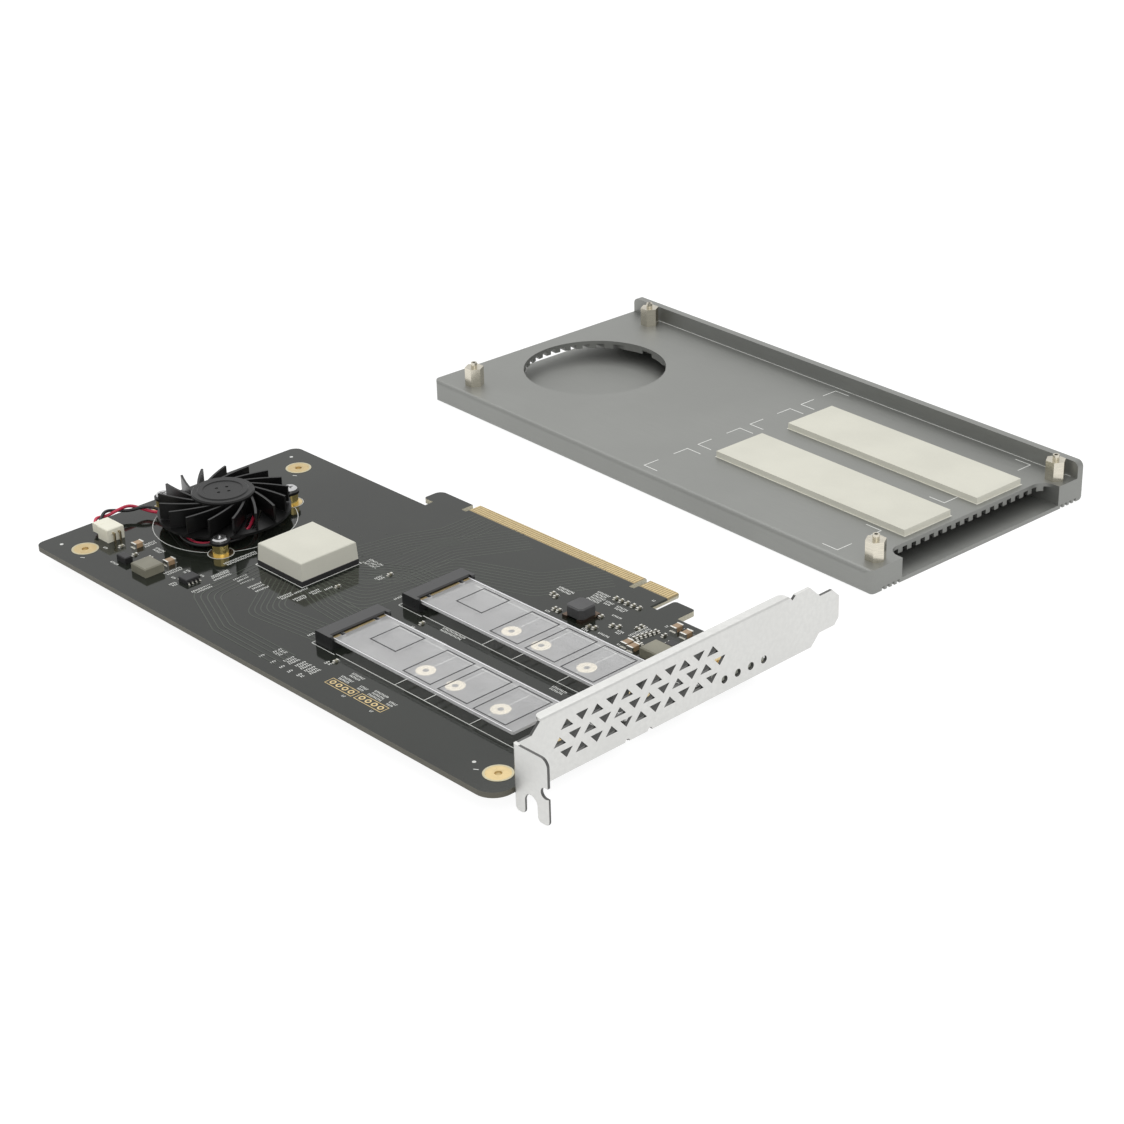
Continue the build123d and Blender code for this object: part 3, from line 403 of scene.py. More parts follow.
def metal_finish(name, colour, rough, grain=900.0, stretch=(1, 1, 1), turn=0.0, metallic=1.0, relief=0.1,
                 spread=0.12, dark=None):
    """Metal with brushed or satin grain along one way, with painted shade where the dark mask says."""
    finish = Finish(name, Metallic=metallic)
    place = finish.place()
    streaks = finish.noise(finish.scaled(place, *stretch, turn), grain, 4.0, 0.6)
    cloud = finish.noise(place, 30.0)
    shade = finish.mottle(streaks, colour, 1 - spread, 1 + spread)
    shade = finish.mix(cloud.ramp(0.35, 0.7, 0.0, 0.5), shade, tint(colour, 0.92))
    # Painted shade: nearly black where the dark mask is one
    if dark:
        shade = finish.mix(dark(finish, place), shade, tint(colour, 0.04))
    return finish.feed(
        Base_Color=shade,
        Roughness=streaks * 0.14 + (rough - 0.07),
        Normal=finish.bump(streaks, relief, 0.02),
    )


def bracket_finish(colour):
    """Satin plated sheet whose punched and sheared edges carry painted shade, darker than its faces."""
    low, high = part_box("bracket")
    finish = Finish("bracket_satin", Metallic=0.8)
    place = finish.place()
    x, y, z = finish.axes(place)
    nx, ny, _ = finish.facing()
    face = BOARD_HIGH.x + BRACKET_GAP * MM
    in_face = (abs(x - face) < 0.8 * MM) * (z < high.z - 0.4 * MM) * (y > low.y + 1.2 * MM)
    punched_edge_shade = (abs(nx) < 0.5) * in_face
    sheared_edge_shade = (abs(ny) < 0.5) * (x > face + 1.2 * MM)
    grain = finish.noise(place, 700.0, 4.0)
    cloud = finish.noise(place, 40.0)
    shade = finish.mottle(grain, colour, 0.96, 1.03)
    shade = finish.mix(cloud.ramp(0.35, 0.7, 0.0, 0.5), shade, tint(colour, 0.95))
    # Painted shade: the vent walls and the sheet's edges are made nearly black
    shade = finish.mix(punched_edge_shade.math("MAXIMUM", sheared_edge_shade) * 0.9, shade, tint(colour, 0.08))
    return finish.feed(
        Base_Color=shade,
        Roughness=grain * 0.12 + 0.34,
        Normal=finish.bump(grain, 0.1, 0.02),
    )


def plastic_finish(name, colour, rough, relief=0.12, grain=900.0, spread=0.15, **constants):
    """Moulded plastic with fine grain and slight cloudiness."""
    finish = Finish(name, **constants)
    place = finish.place()
    cloud = finish.noise(place, 60.0)
    fine = finish.noise(place, grain)
    return finish.feed(
        Base_Color=finish.mottle(cloud, colour, 1 - spread, 1 + spread),
        Roughness=fine * 0.12 + (rough - 0.06),
        Normal=finish.bump(fine, relief, 0.03),
    )


def component_finish(name, colour, rough, spread=0.2):
    """Fired or pressed component body, or printed ink."""
    return plastic_finish(name, colour, rough, relief=0.25, grain=2600.0, spread=spread)


def gum_finish(colour):
    """Soft cream gum with fine specks and a slightly uneven face."""
    finish = Finish("thermal_gum")
    place = finish.place()
    specks = finish.noise(place, 2400.0, 2.0)
    cloud = finish.noise(place, 55.0, 4.0)
    shade = finish.mottle(cloud, colour, 0.965, 1.03)
    return finish.feed(
        Base_Color=finish.mix(specks.ramp(0.62, 0.72, 0.0, 0.22), shade, tint(colour, 0.8)),
        Roughness=specks * 0.1 + 0.62,
        Normal=finish.bump(cloud * 0.6 + specks * 0.12, 0.3, 0.12),
    )


def blank_finish(colours):
    """See-through grey sheet, a little paler where it leaves the socket."""
    finish = Finish("blank_sheet", IOR=1.45)
    place = finish.place()
    cloud = finish.noise(place, 45.0)
    scuffs = finish.noise(finish.scaled(place, 0.2, 3.0, 1.0), 400.0)
    shade = finish.mottle(cloud, colours.blank, 0.96, 1.03)
    away = (finish.axes(place)[0] - (CARD.x + (MODULE_DATUM + 5.0) * MM)).ramp(0.0, 1.0 * MM)
    return finish.feed(
        Base_Color=finish.mix(away, tint(colours.blank, 1.2), shade),
        Roughness=scuffs * 0.1 + 0.3,
        Alpha=cloud * 0.04 + (colours.blank_cover - 0.02),
    )


def hole_finish(colours):
    """Gold of the module holes, painted paler under a blank and given a painted glow there, both for the
    light that the sheet lets past.
    """
    finish = Finish("hole_plating_painted_glow", Emission_Strength=0.3, Metallic=0.3)
    place = finish.place()
    # Painted light: under a blank the gold turns paler and glows, for the light that the sheet lets past
    under = 1.0 - (finish.axes(place)[0] - (CARD.x + BLANK_END * MM)).ramp(0.0, 0.1 * MM)
    cloud = finish.noise(place, 900.0, 2.0)
    shade = finish.mix(cloud.ramp(0.3, 0.7), (0.93, 0.84, 0.64), (1.0, 0.91, 0.70))
    return finish.feed(
        Base_Color=finish.mix(under, colours.gold, shade),
        Roughness=cloud * 0.1 + 0.35,
        Emission_Color=finish.mix(under, (0.0, 0.0, 0.0), (0.95, 0.82, 0.56)),
    )


def trace_finish(colours):
    """Resist that is paler where copper runs under it."""
    finish = Finish("trace_resist", IOR=1.5)
    cloud = finish.noise(finish.place(), 40.0)
    return finish.feed(
        Base_Color=finish.mottle(cloud, colours.board, 2.9, 4.0),
        Roughness=cloud * 0.05 + 0.1,
    )


def cad_finishes(card, cover):
    """The finish of each CAD node."""
    finishes = {
        "pcb": board_finish(card),
        "edge_contacts corner_pads test_pads": metal_finish("gold_plate", card.gold, 0.3, spread=0.06),
        "module_hole_pads": hole_finish(card),
        "module_blank_near module_blank_far": blank_finish(card),
        "blank_strip_near blank_strip_far": metal_finish("strip_gold", (0.34, 0.26, 0.13), 0.35, spread=0.1),
        "bracket": bracket_finish(card.bracket),
        "bracket_screws fan_screws fan_shaft":
            metal_finish("bright_screw", (0.72, 0.72, 0.72), 0.15, 500.0, spread=0.05),
        "fan_posts": metal_finish("turned_brass", (0.84, 0.67, 0.26), 0.2, stretch=(0.2, 0.2, 6)),
        "cover_standoffs":
            metal_finish("warm_nickel", cover.nickel, 0.24, 700.0, (0.4, 0.4, 5), spread=0.08),
        "socket_tails_near socket_tails_far memory_legs power_legs":
            metal_finish("tin", (0.84, 0.83, 0.78), 0.3, 1500.0, spread=0.1),
        "header_pins": metal_finish("header_pin", (0.46, 0.39, 0.26), 0.3, 1500.0, spread=0.15),
        "coil_frame": metal_finish("bare_copper", (0.14, 0.10, 0.075), 0.4),
        # The cover's duct gets painted shade on its fins and floor
        "cover_body":
            metal_finish("brushed_cover", cover.metal, 0.48, 1800.0, (0.05, 1.0, 1.0), -COVER_TURN,
                         metallic=0.75, relief=0.06, spread=0.03, dark=duct_painted_shade),
        "cover_pad_near cover_pad_far switch_thermal_pad": gum_finish(cover.gum),
        "fan_base fan_impeller":
            plastic_finish("fan_plastic", card.fan, 0.34, 0.18, spread=0.3, Specular_IOR_Level=0.36),
        "module_socket_near module_socket_far":
            plastic_finish("socket_plastic", (0.012, 0.0125, 0.013), 0.3, 0.15, Specular_IOR_Level=0.8),
        "switch_chip memory_chip power_chip diode fan_magnet motor_board fan_lead_red fan_lead_black":
            plastic_finish("chip_plastic", (0.02, 0.02, 0.021), 0.42, 0.3, 2200.0),
        "fan_header fan_plug": plastic_finish("connector_cream", (0.842, 0.824, 0.694), 0.42, spread=0.05),
        "indicator_lamps": plastic_finish("lamp_lens", (0.62, 0.64, 0.58), 0.25, spread=0.05),
        "coil_middle": component_finish("coil_dark", (0.065, 0.065, 0.066), 0.5),
        "coil_near coil_far": component_finish("coil_grey", (0.26, 0.25, 0.19), 0.46),
        "ceramic_capacitors": component_finish("capacitor_tan", (0.39, 0.265, 0.155), 0.42),
        "small_parts": component_finish("small_body", (0.20, 0.19, 0.14), 0.4, spread=0.5),
        "fan_stator": component_finish("wound_core", (0.25, 0.10, 0.04), 0.4),
    }
    return {node: finish for nodes, finish in finishes.items() for node in nodes.split()}


def add_object(name, data):
    """A new object in the scene."""
    piece = bpy.data.objects.new(name, data)
    bpy.context.scene.collection.objects.link(piece)
    return piece


def add_mesh(name, shape, finish):
    """A new object from a bmesh."""
    mesh = bpy.data.meshes.new(name)
    shape.to_mesh(mesh)
    shape.free()
    mesh.materials.append(finish)
    return add_object(name, mesh)


def ride_as(name, shape, finish):
    """Turn a bmesh into a piece that rides on the card's body."""
    bmesh.ops.recalc_face_normals(shape, faces=shape.faces)
    piece = add_mesh(name, shape, finish)
    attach(piece, CARD_BODY)


def circle(x, y, radius, steps):
    """Points round a middle."""
    turns = [2 * math.pi * step / steps for step in range(steps)]
    return [(x + radius * math.cos(turn), y + radius * math.sin(turn)) for turn in turns]


def neighbours(points):
    """Each point of a route between the one before and the one after, or between itself at an end."""
    points = [Vector(point) for point in points]
    return list(zip([points[0], *points], points, [*points[1:], points[-1]]))


def offset(points, shift, sharpest):
    """A route moved sideways, with its bends mitred and the sharp ones held in."""
    moved = []
    for before, point, after in neighbours(points):
        into = (after - point if point is before else point - before).normalized()
        out = (point - before if point is after else after - point).normalized()
        across = Vector((-(into + out).y, (into + out).x)).normalized()
        moved.append(point + across * shift / max(sharpest, across.dot(Vector((-into.y, into.x)))))
    return moved


class Marks:
    """Thin closed films on a level surface: bars, lines, rings, dots and labels."""

    def __init__(self, place, height=LIFT, thickness=FILM):
        self.place = place
        self.low = height
        self.high = height + thickness
        self.shape = bmesh.new()

    def row(self, outline, height):
        """New points at one height."""
        return [self.shape.verts.new(self.place(x, y, height)) for x, y in outline]

    def skin(self, first, second, closed=True):
        """Faces between two rows of points."""
        for here in range(len(first) if closed else len(first) - 1):
            there = (here + 1) % len(first)
            self.shape.faces.new((first[here], first[there], second[there], second[here]))

    def prism(self, outline):
        """A film with this outline."""
        low, high = self.row(outline, self.low), self.row(outline, self.high)
        self.shape.faces.new(reversed(low))
        self.shape.faces.new(high)
        self.skin(low, high)

    def band(self, first, second, closed):
        """A film between two outlines, which are loops where it is closed."""
        rows = [self.row(first, self.low), self.row(second, self.low),
                self.row(second, self.high), self.row(first, self.high)]
        for here, there in zip(rows, rows[1:] + rows[:1]):
            self.skin(here, there, closed)
        if not closed:
            for end in (0, -1):
                self.shape.faces.new([row[end] for row in rows])

    def bar(self, x, y, length, width, turn=0.0):
        """A rectangle round its middle."""
        along = Vector((math.cos(turn), math.sin(turn))) * length / 2
        across = Vector((-math.sin(turn), math.cos(turn))) * width / 2
        middle = Vector((x, y))
        self.prism([middle - along - across, middle + along - across, middle + along + across,
                    middle - along + across])

    def line(self, start, end, width):
        """A straight line from point to point."""
        start, end = Vector(start), Vector(end)
        middle, run = (start + end) / 2, end - start
        self.bar(middle.x, middle.y, run.length, width, math.atan2(run.y, run.x))

    def frame(self, low, high, width):
        """The four sides of a rectangle, meeting without overlap."""
        half = width / 2
        for y in (low[1], high[1]):
            self.line((low[0] - half, y), (high[0] + half, y), width)
        for x in (low[0], high[0]):
            self.line((x, low[1] + half), (x, high[1] - half), width)

    def ring(self, x, y, radius, width, steps):
        """A closed ring."""
        self.band(circle(x, y, radius - width / 2, steps), circle(x, y, radius + width / 2, steps), True)

    def dot(self, x, y, radius):
        """A round spot."""
        self.prism(circle(x, y, radius, 20))

    def ribbon(self, points, width):
        """A line with mitred bends."""
        self.band(offset(points, -width / 2, 0.5), offset(points, width / 2, 0.5), False)

    def label(self, x, y, rows, length, way):
        """Rows of small plain strokes round a middle, along X or along Y."""
        for row in range(rows):
            count = max(2, round(length / STROKE_PITCH) - row % 2)
            for step in range(count):
                along = (step - (count - 1) / 2) * STROKE_PITCH
                across = ((rows - 1) / 2 - row) * STROKE_ROW
                rise = ((step * 2 + row) % 3 - 1) * ARM_RISE
                for run, side, size, width in ((along, across, STROKE_WIDTH, STROKE_HEIGHT),
                                               (along + ARM_SHIFT, across + rise, ARM_LENGTH, STROKE_WIDTH)):
                    spot = (x - side, y + run) if way else (x + run, y + side)
                    self.bar(*spot, size, width, way * math.pi / 2)

    def done(self, name, finish, slot=None):
        """Make the films one piece."""
        ride_as(name, self.shape, finish)


def islands(node):
    """Lowest and highest corners of each separate solid in a CAD node, in the row frame."""
    shape = bmesh.new()
    shape.from_mesh(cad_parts[node].data)
    bmesh.ops.remove_doubles(shape, verts=shape.verts, dist=0.001 * MM)
    left = set(shape.verts)
    boxes = []
    while left:
        stack = [left.pop()]
        found = list(stack)
        while stack:
            for edge in stack.pop().link_edges:
                for vert in edge.verts:
                    if vert in left:
                        left.discard(vert)
                        stack.append(vert)
                        found.append(vert)
        low = Vector([min(vert.co[axis] for vert in found) for axis in range(3)])
        high = Vector([max(vert.co[axis] for vert in found) for axis in range(3)])
        boxes.append((low, high))
    shape.free()
    return sorted(boxes, key=lambda box: tuple(round(part, 5) for part in box[0]))


def add_block(shape, low, high, soften):
    """A box with softened edges, added to a bmesh."""
    made = bmesh.ops.create_cube(shape, size=1.0)
    span, middle = high - low, (high + low) / 2
    for vert in made["verts"]:
        vert.co = Vector([middle[axis] + vert.co[axis] * span[axis] for axis in range(3)])
    edges = {edge for vert in made["verts"] for edge in vert.link_edges}
    bmesh.ops.bevel(shape, geom=list(edges), offset=soften, segments=2, profile=0.5, affect="EDGES")


def end_caps(name, node, finish, share, pad):
    """Plated ends over a share of every part of a node, and solder feet in millimetres beyond them."""
    proud, soften, foot_height = 0.025 * MM, 0.02 * MM, 0.12 * MM
    shape = bmesh.new()
    for low, high in islands(node):
        span = high - low
        axis = 0 if span.x >= span.y else 1
        for side, way in ((0, -1), (1, 1)):
            end = (low, high)[side][axis]
            cap = [Vector((low.x - proud, low.y - proud, low.z)),
                   Vector((high.x + proud, high.y + proud, high.z + proud))]
            foot = [corner.copy() for corner in cap]
            cap[1 - side][axis] = end - way * span[axis] * share
            foot[1 - side][axis] = end
            foot[side][axis] = end + way * pad * MM
            foot[1].z = low.z + min(foot_height, span.z * 0.3)
            add_block(shape, *cap, soften)
            add_block(shape, *foot, soften)
    ride_as(name, shape, finish)


class CARD_OT_finishes(Operator):
    """Give every CAD piece its finish."""

    bl_idname = "card.finishes"
    bl_label = "Finishes"

    def execute(self, context):
        finishes = cad_finishes(context.scene.card_colours, context.scene.cover_colours)
        missing = sorted(set(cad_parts) - set(finishes))
        if missing:
            raise RuntimeError(f"no finish for {missing}")
        for node, finish in finishes.items():
            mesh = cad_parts[node].data
            mesh.materials.clear()
            mesh.materials.append(finish)
            for face in mesh.polygons:
                face.material_index = 0
        return {"FINISHED"}


# Middle line of the fan's lead in card sizes: side by side under the fan, then twisted up to the plug
LEAD_ROUTE = (
    (34.6, 57.3, 3.7), (39.6, 52.8, 3.45), (43.7, 47.9, 2.85), (45.2, 42.4, 2.2), (41.9, 37.3, 1.7),
    (39.4, 32.5, 1.5), (33.8, 31.5, 1.6), (27.8, 33.5, 2.1), (22.0, 35.2, 2.1), (17.4, 36.9, 1.8),
)
LEAD_TAIL = (
    (14.0, 37.7, 1.7), (10.4, 36.9, 2.1), (7.3, 34.5, 2.7), (5.1, 31.1, 3.1), (3.8, 27.3, 3.2),
    (3.2, 23.6, 3.1), (4.0, 20.4, 2.9),
)
LEAD_DIAMETER = 1.0
LEAD_APART = 0.66
LEAD_SWING = 0.95
LEAD_TURNS = 2
LEAD_STRAIGHT = 1.6
LEAD_PIN_PITCH = 2.0
LEAD_HEIGHT = 2.7
PLUG_LOW, PLUG_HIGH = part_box("fan_plug")
PLUG_FACE = (PLUG_LOW.x - CARD.x) / MM
PLUG_MIDDLE = ((PLUG_LOW.y + PLUG_HIGH.y) / 2 - CARD.y) / MM


def lead_points(side):
    """One strand: beside its partner under the fan, then twisted round it up to the plug."""
    up = Vector((0, 0, 1))
    points = []
    for before, point, after in neighbours(LEAD_ROUTE):
        across = (after - before).cross(up).normalized()
        points.append(point + across * side * LEAD_APART)
    tail = neighbours((LEAD_ROUTE[-1], *LEAD_TAIL))[1:]
    for index, (before, point, after) in enumerate(tail, start=1):
        along = (after - before).normalized()
        across = along.cross(up).normalized()
        turn = 2 * math.pi * LEAD_TURNS * index / len(LEAD_TAIL)
        swing = across * math.cos(turn) + across.cross(along) * math.sin(turn)
        points.append(point + swing * side * LEAD_SWING)
    line = PLUG_MIDDLE - side * LEAD_PIN_PITCH / 2
    points.append(Vector((PLUG_FACE - LEAD_STRAIGHT, line, LEAD_HEIGHT)))
    points.append(Vector((PLUG_FACE, line, LEAD_HEIGHT)))
    return [on_card(*point) for point in points]


class CARD_OT_leads(Operator):
    """Lay the fan's red and black strands."""

    bl_idname = "card.leads"
    bl_label = "Fan lead"

    def execute(self, context):
        colours = {"red": (0.56, 0.026, 0.07), "black": (0.010, 0.010, 0.011)}
        for side, name in ((1, "red"), (-1, "black")):
            points = lead_points(side)
            line = bpy.data.curves.new(f"lead_{name}", "CURVE")
            line.dimensions = "3D"
            line.bevel_depth = LEAD_DIAMETER / 2 * MM
            line.bevel_resolution = 6
            line.resolution_u = 8
            line.use_fill_caps = True
            spline = line.splines.new("NURBS")
            spline.points.add(len(points) - 1)
            for spot, point in zip(spline.points, points):
                spot.co = (*point, 1.0)
            spline.order_u = 3
            spline.use_endpoint_u = True
            line.materials.append(plastic_finish(f"sleeve_{name}", colours[name], 0.3, spread=0.12))
            piece = add_object(f"lead_{name}", line)
            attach(piece, CARD_BODY)
            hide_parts(f"fan_lead_{name}")
        return {"FINISHED"}


# Strokes of the labels, in millimetres: an upright with a short arm at one of three heights
STROKE_PITCH, STROKE_ROW = 0.62, 1.2
STROKE_WIDTH, STROKE_HEIGHT = 0.2, 0.82
ARM_LENGTH, ARM_SHIFT, ARM_RISE = 0.24, 0.2, 0.3

# Labels as rows of plain strokes: (x, y, rows, row length, way they run: 0 along X, 1 along Y)
LABELS = (
    (17.5, 13.5, 1, 2, 0), (25, 24, 2, 5, 1), (30.5, 23.5, 2, 4.5, 0), (28, 9.5, 1, 3.5, 0),
    (45, 18.5, 2, 6.5, 1), (42.5, 14.5, 1, 2, 1), (52, 13.5, 2, 2.5, 1), (48.5, 16, 1, 2, 0),
    (48, 21, 2, 2, 0), (60.5, 17.5, 2, 7, 1), (53.5, 22.5, 1, 2, 0), (56, 27, 1, 6, 1),
    (58.5, 26, 1, 6.5, 1), (57, 26.5, 1, 6, 1), (52.5, 34.5, 2, 6, 1), (52.5, 40, 2, 6, 1),
    (62.5, 29.5, 1, 5, 1), (66, 29.5, 1, 5, 1), (69.5, 29.5, 1, 5, 1), (73, 29.5, 1, 5, 1),
    (64, 29.5, 1, 4.5, 1), (71, 29.5, 1, 4.5, 1), (81.5, 31.5, 2, 5, 1), (85.5, 33.5, 2, 4.5, 1),
    (82, 36.5, 1, 5, 1), (85.5, 39, 2, 3.5, 1), (86.5, 43, 1, 3, 1), (92, 57.5, 2, 3, 1),
    (83.5, 62, 3, 6, 0), (105.5, 53, 1, 3, 1), (105, 22, 1, 2.5, 1), (107, 9.5, 3, 3.5, 1),
    (113, 9, 3, 3.5, 1), (117.5, 9.5, 3, 3.5, 1), (121.5, 9.5, 3, 3.5, 1), (105, 5, 1, 2, 1),
    (110, 5, 1, 2, 1), (114, 5, 1, 2, 1), (117.5, 5, 1, 2, 1), (121.5, 5.5, 2, 2, 1),
    (121.5, 15, 2, 2, 1), (132, 12.5, 2, 5, 0), (133, 15.5, 2, 5, 0), (139, 12.5, 2, 3, 0),
    (145, 13, 3, 5.5, 0), (151, 12.5, 2, 3, 0), (138.5, 6.5, 1, 1.5, 0), (150, 6.5, 1, 1.5, 0),
    (133, 49.5, 2, 9.5, 0), (132, 44, 1, 9, 0), (122, 44.5, 1, 1, 0), (177, 48, 2, 5.5, 0),
    (136.5, 89, 2, 6, 0), (146, 94.5, 2, 5, 0), (146.5, 91.5, 3, 5, 0), (151, 92, 2, 3, 0),
    (156, 92, 2, 4.5, 0), (158.5, 88, 1, 3.5, 0), (157.5, 76, 2, 2.5, 0), (161.5, 75.5, 1, 3.5, 0),
    (163.5, 78, 1, 4.5, 0), (165.5, 82, 2, 2.5, 0), (169.5, 86, 2, 7.5, 1), (172.5, 93.5, 1, 1.5, 1),
    (159, 102, 1, 1, 0), (171, 77, 1, 2.5, 0), (142, 77, 1, 2, 0),
)
SPOTS = ((5.9, 5.7), (5.2, 92.8), (188.5, 8.3))
DASHES = ((18.1, 5.0), (17.5, 84.6), (191.6, 6.2))

# Sizes of the printed outlines, in millimetres from the middle of the fan, a post or a module's row
FAN_RING, POST_RING = 21.9, 3.9
ROW_SIDE, SOCKET_SIDE, SOCKET_BACK_SIDE = 11.0, 11.6, 11.5
TICK_START, TICK_BREAK, TICK_END = 3.2, 9.5, 10.9


class CARD_OT_print(Operator):
    """Print the white rings, outlines, ticks and plain labels on the board, with a painted glow on the ticks
    under the blanks.
    """

    bl_idname = "card.print"
    bl_label = "Board print"

    def execute(self, context):
        white = context.scene.card_colours.print_white
        line = context.scene.print_settings.line
        marks, ticks = Marks(on_card), Marks(on_card)
        marks.ring(*FAN, FAN_RING, line, 128)
        for x, y in FAN_POSTS:
            marks.ring(x, y, POST_RING, line, 48)
        low, high = (tuple(middle + side * CHIP_OUTLINE for middle in CHIP) for side in (-1, 1))
        marks.frame(low, high, 0.3)
        for row in MODULE_ROWS:
            for side in (-1, 1):
                edge, outer = row + side * ROW_SIDE, row + side * SOCKET_SIDE
                marks.line((SOCKET_END, edge), (BOARD_LENGTH - 5.0, edge), line)
                marks.line((SOCKET_START, outer), (SOCKET_END, outer), line)
            marks.line((SOCKET_START, row - SOCKET_BACK_SIDE), (SOCKET_START, row + SOCKET_BACK_SIDE), line)
            for step in MODULE_STEPS:
                across = MODULE_DATUM + step
                layer = ticks if across < BLANK_END else marks
                for side in (-1, 1):
                    start, middle, end = (row + side * part for part in (TICK_START, TICK_BREAK, TICK_END))
                    layer.line((across, start), (across, middle), line)
                    marks.line((across, middle), (across, end), line)
        for x, y in SPOTS:
            marks.dot(x, y, 0.55)
        for x, y in DASHES:
            marks.bar(x, y, 1.4, 0.3, 0.6)
        for label in LABELS:
            marks.label(*label)
        marks.done("board_print", component_finish("board_print", white, 0.5, 0.08))
        # Painted light: the ticks under the blanks glow, for the light that the sheet lets past
        ticks.done("row_ticks", plastic_finish("print_under_blanks_painted_glow", white, 0.5, spread=0.08,
                                               Emission_Strength=0.3, Emission_Color=(0.80, 0.80, 0.78)))
        return {"FINISHED"}


def corner_holes():
    """The middles of the four corner holes, in card sizes."""
    low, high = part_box("corner_pads")
    for x in (low.x / MM + CORNER_PAD_REACH, high.x / MM - CORNER_PAD_REACH):
        for y in (low.y / MM + CORNER_PAD_REACH, high.y / MM - CORNER_PAD_REACH):
            yield x - CARD.x / MM, y - CARD.y / MM


# Frames of the two rows of test holes, in card sizes
TEST_ROWS = ((129.0, 140.0), (141.2, 152.2))
TEST_SIDES = (7.8, 10.8)
# Plated rings, in millimetres: (radius of the middle line, width, steps)
POST_PAD = (2.85, 1.6, 48)
HOLE_RING = (1.31, 0.38, 40)
HOLE_SLEEVE = (1.05, 0.1, 40)
PAD_RIM = (CORNER_PAD_REACH - 0.3, 0.6, 64)
VIA = (0.22, 0.12, 10)


class CARD_OT_gold_print(Operator):
    """Add the gold frames and rings, the plating of the corner holes, and the vias."""

    bl_idname = "card.gold_print"
    bl_label = "Gold frames and vias"

    def execute(self, context):
        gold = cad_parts["corner_pads"].data.materials[0]
        marks = Marks(on_card)
        for start, end in TEST_ROWS:
            marks.frame((start, TEST_SIDES[0]), (end, TEST_SIDES[1]), 0.22)
        for spot in FAN_POSTS:
            marks.ring(*spot, *POST_PAD)
        sleeves = Marks(on_card, -BOARD_THICKNESS + 0.01, BOARD_THICKNESS)
        rims = Marks(on_card, 0.055, 0.01)
        for spot in corner_holes():
            marks.ring(*spot, *HOLE_RING)
            sleeves.ring(*spot, *HOLE_SLEEVE)
            rims.ring(*spot, *PAD_RIM)
        marks.done("test_frames", gold, "gold")
        sleeves.done("hole_sleeves", gold, "gold")
        pale = metal_finish("pad_rim", (0.60, 0.55, 0.38), 0.4, metallic=0.5, spread=0.05)
        rims.done("corner_rims", pale, "gold")
        plated = component_finish("via_resist", tint(context.scene.card_colours.board, 3.0), 0.3, 0.1)
        vias = Marks(on_card, 0.003, 0.02)
        draw = random.Random(11)
        for _ in range(context.scene.print_settings.via_count):
            reach = draw.uniform(13.0, 30.0)
            turn = draw.uniform(-2.4, 2.4)
            x, y = CHIP[0] + reach * math.cos(turn), CHIP[1] + reach * math.sin(turn)
            vias.ring(round(x * 2) / 2, round(y * 2) / 2, *VIA)
        vias.done("vias", plated, "board")
        return {"FINISHED"}


def rounded(points, radius, steps=7):
    """A route with its bends rounded."""
    points = [Vector(point) for point in points]
    route = [points[0]]
    for before, corner, after in zip(points, points[1:], points[2:]):
        into = (before - corner).normalized()
        out = (after - corner).normalized()
        half = into.angle(out) / 2
        reach = min(radius / math.tan(half), (before - corner).length * 0.49, (after - corner).length * 0.49)
        first, last = corner + into * reach, corner + out * reach
        for step in range(steps + 1):
            share = step / steps
            route.append(first * (1 - share) ** 2 + corner * 2 * share * (1 - share) + last * share ** 2)
    route.append(points[-1])
    return route


# How far each bundle of traces lies over the one before
TRACE_STEP = 0.005
# Bundles of traces: (route of the middle in card sizes, traces, pitch)
BUNDLES = (
    (((81.4, 53), (92, 63), (92, 84), (104, 104.5)), 9, 1.7),
    (((81.4, 45), (98, 47), (104, 76), (128, 86), (139, 104.5)), 9, 1.7),
    (((76, 60.4), (80, 78), (86, 90), (86, 104.5)), 8, 1.7),
    (((72, 37.4), (84, 22), (108.5, 25)), 7, 1.53),
    (((81.4, 41), (94, 37), (108.5, 36)), 7, 1.53),
    (((81.4, 57), (96, 66), (108.5, 66)), 6, 1.53),
    (((62, 37.4), (64, 16), (84, 8), (112, 8)), 5, 1.7),
)


class CARD_OT_traces(Operator):
    """Lay bundles of faint traces under the resist."""

    bl_idname = "card.traces"
    bl_label = "Traces"

    def execute(self, context):
        marks = Marks(on_card, 0.001, 0.012)
        for route, count, pitch in BUNDLES:
            for step in range(count):
                lane = offset(route, (step - (count - 1) / 2) * pitch, 0.4)
                marks.ribbon(rounded(lane, 6.0), context.scene.print_settings.trace)
            marks.low += TRACE_STEP
            marks.high += TRACE_STEP
        marks.done("board_traces", trace_finish(context.scene.card_colours), "board")
        return {"FINISHED"}


# Dark fields on a blank: (start and end along the card, near and far side from the middle of the row)
BLANK_FIELDS = (
    (123.8, 134.3, -2.6, 7.8), (143.9, 154.9, -8.0, 7.7),
    (158.0, 169.5, -8.0, 7.9), (172.5, 184.8, -8.4, 7.9),
)


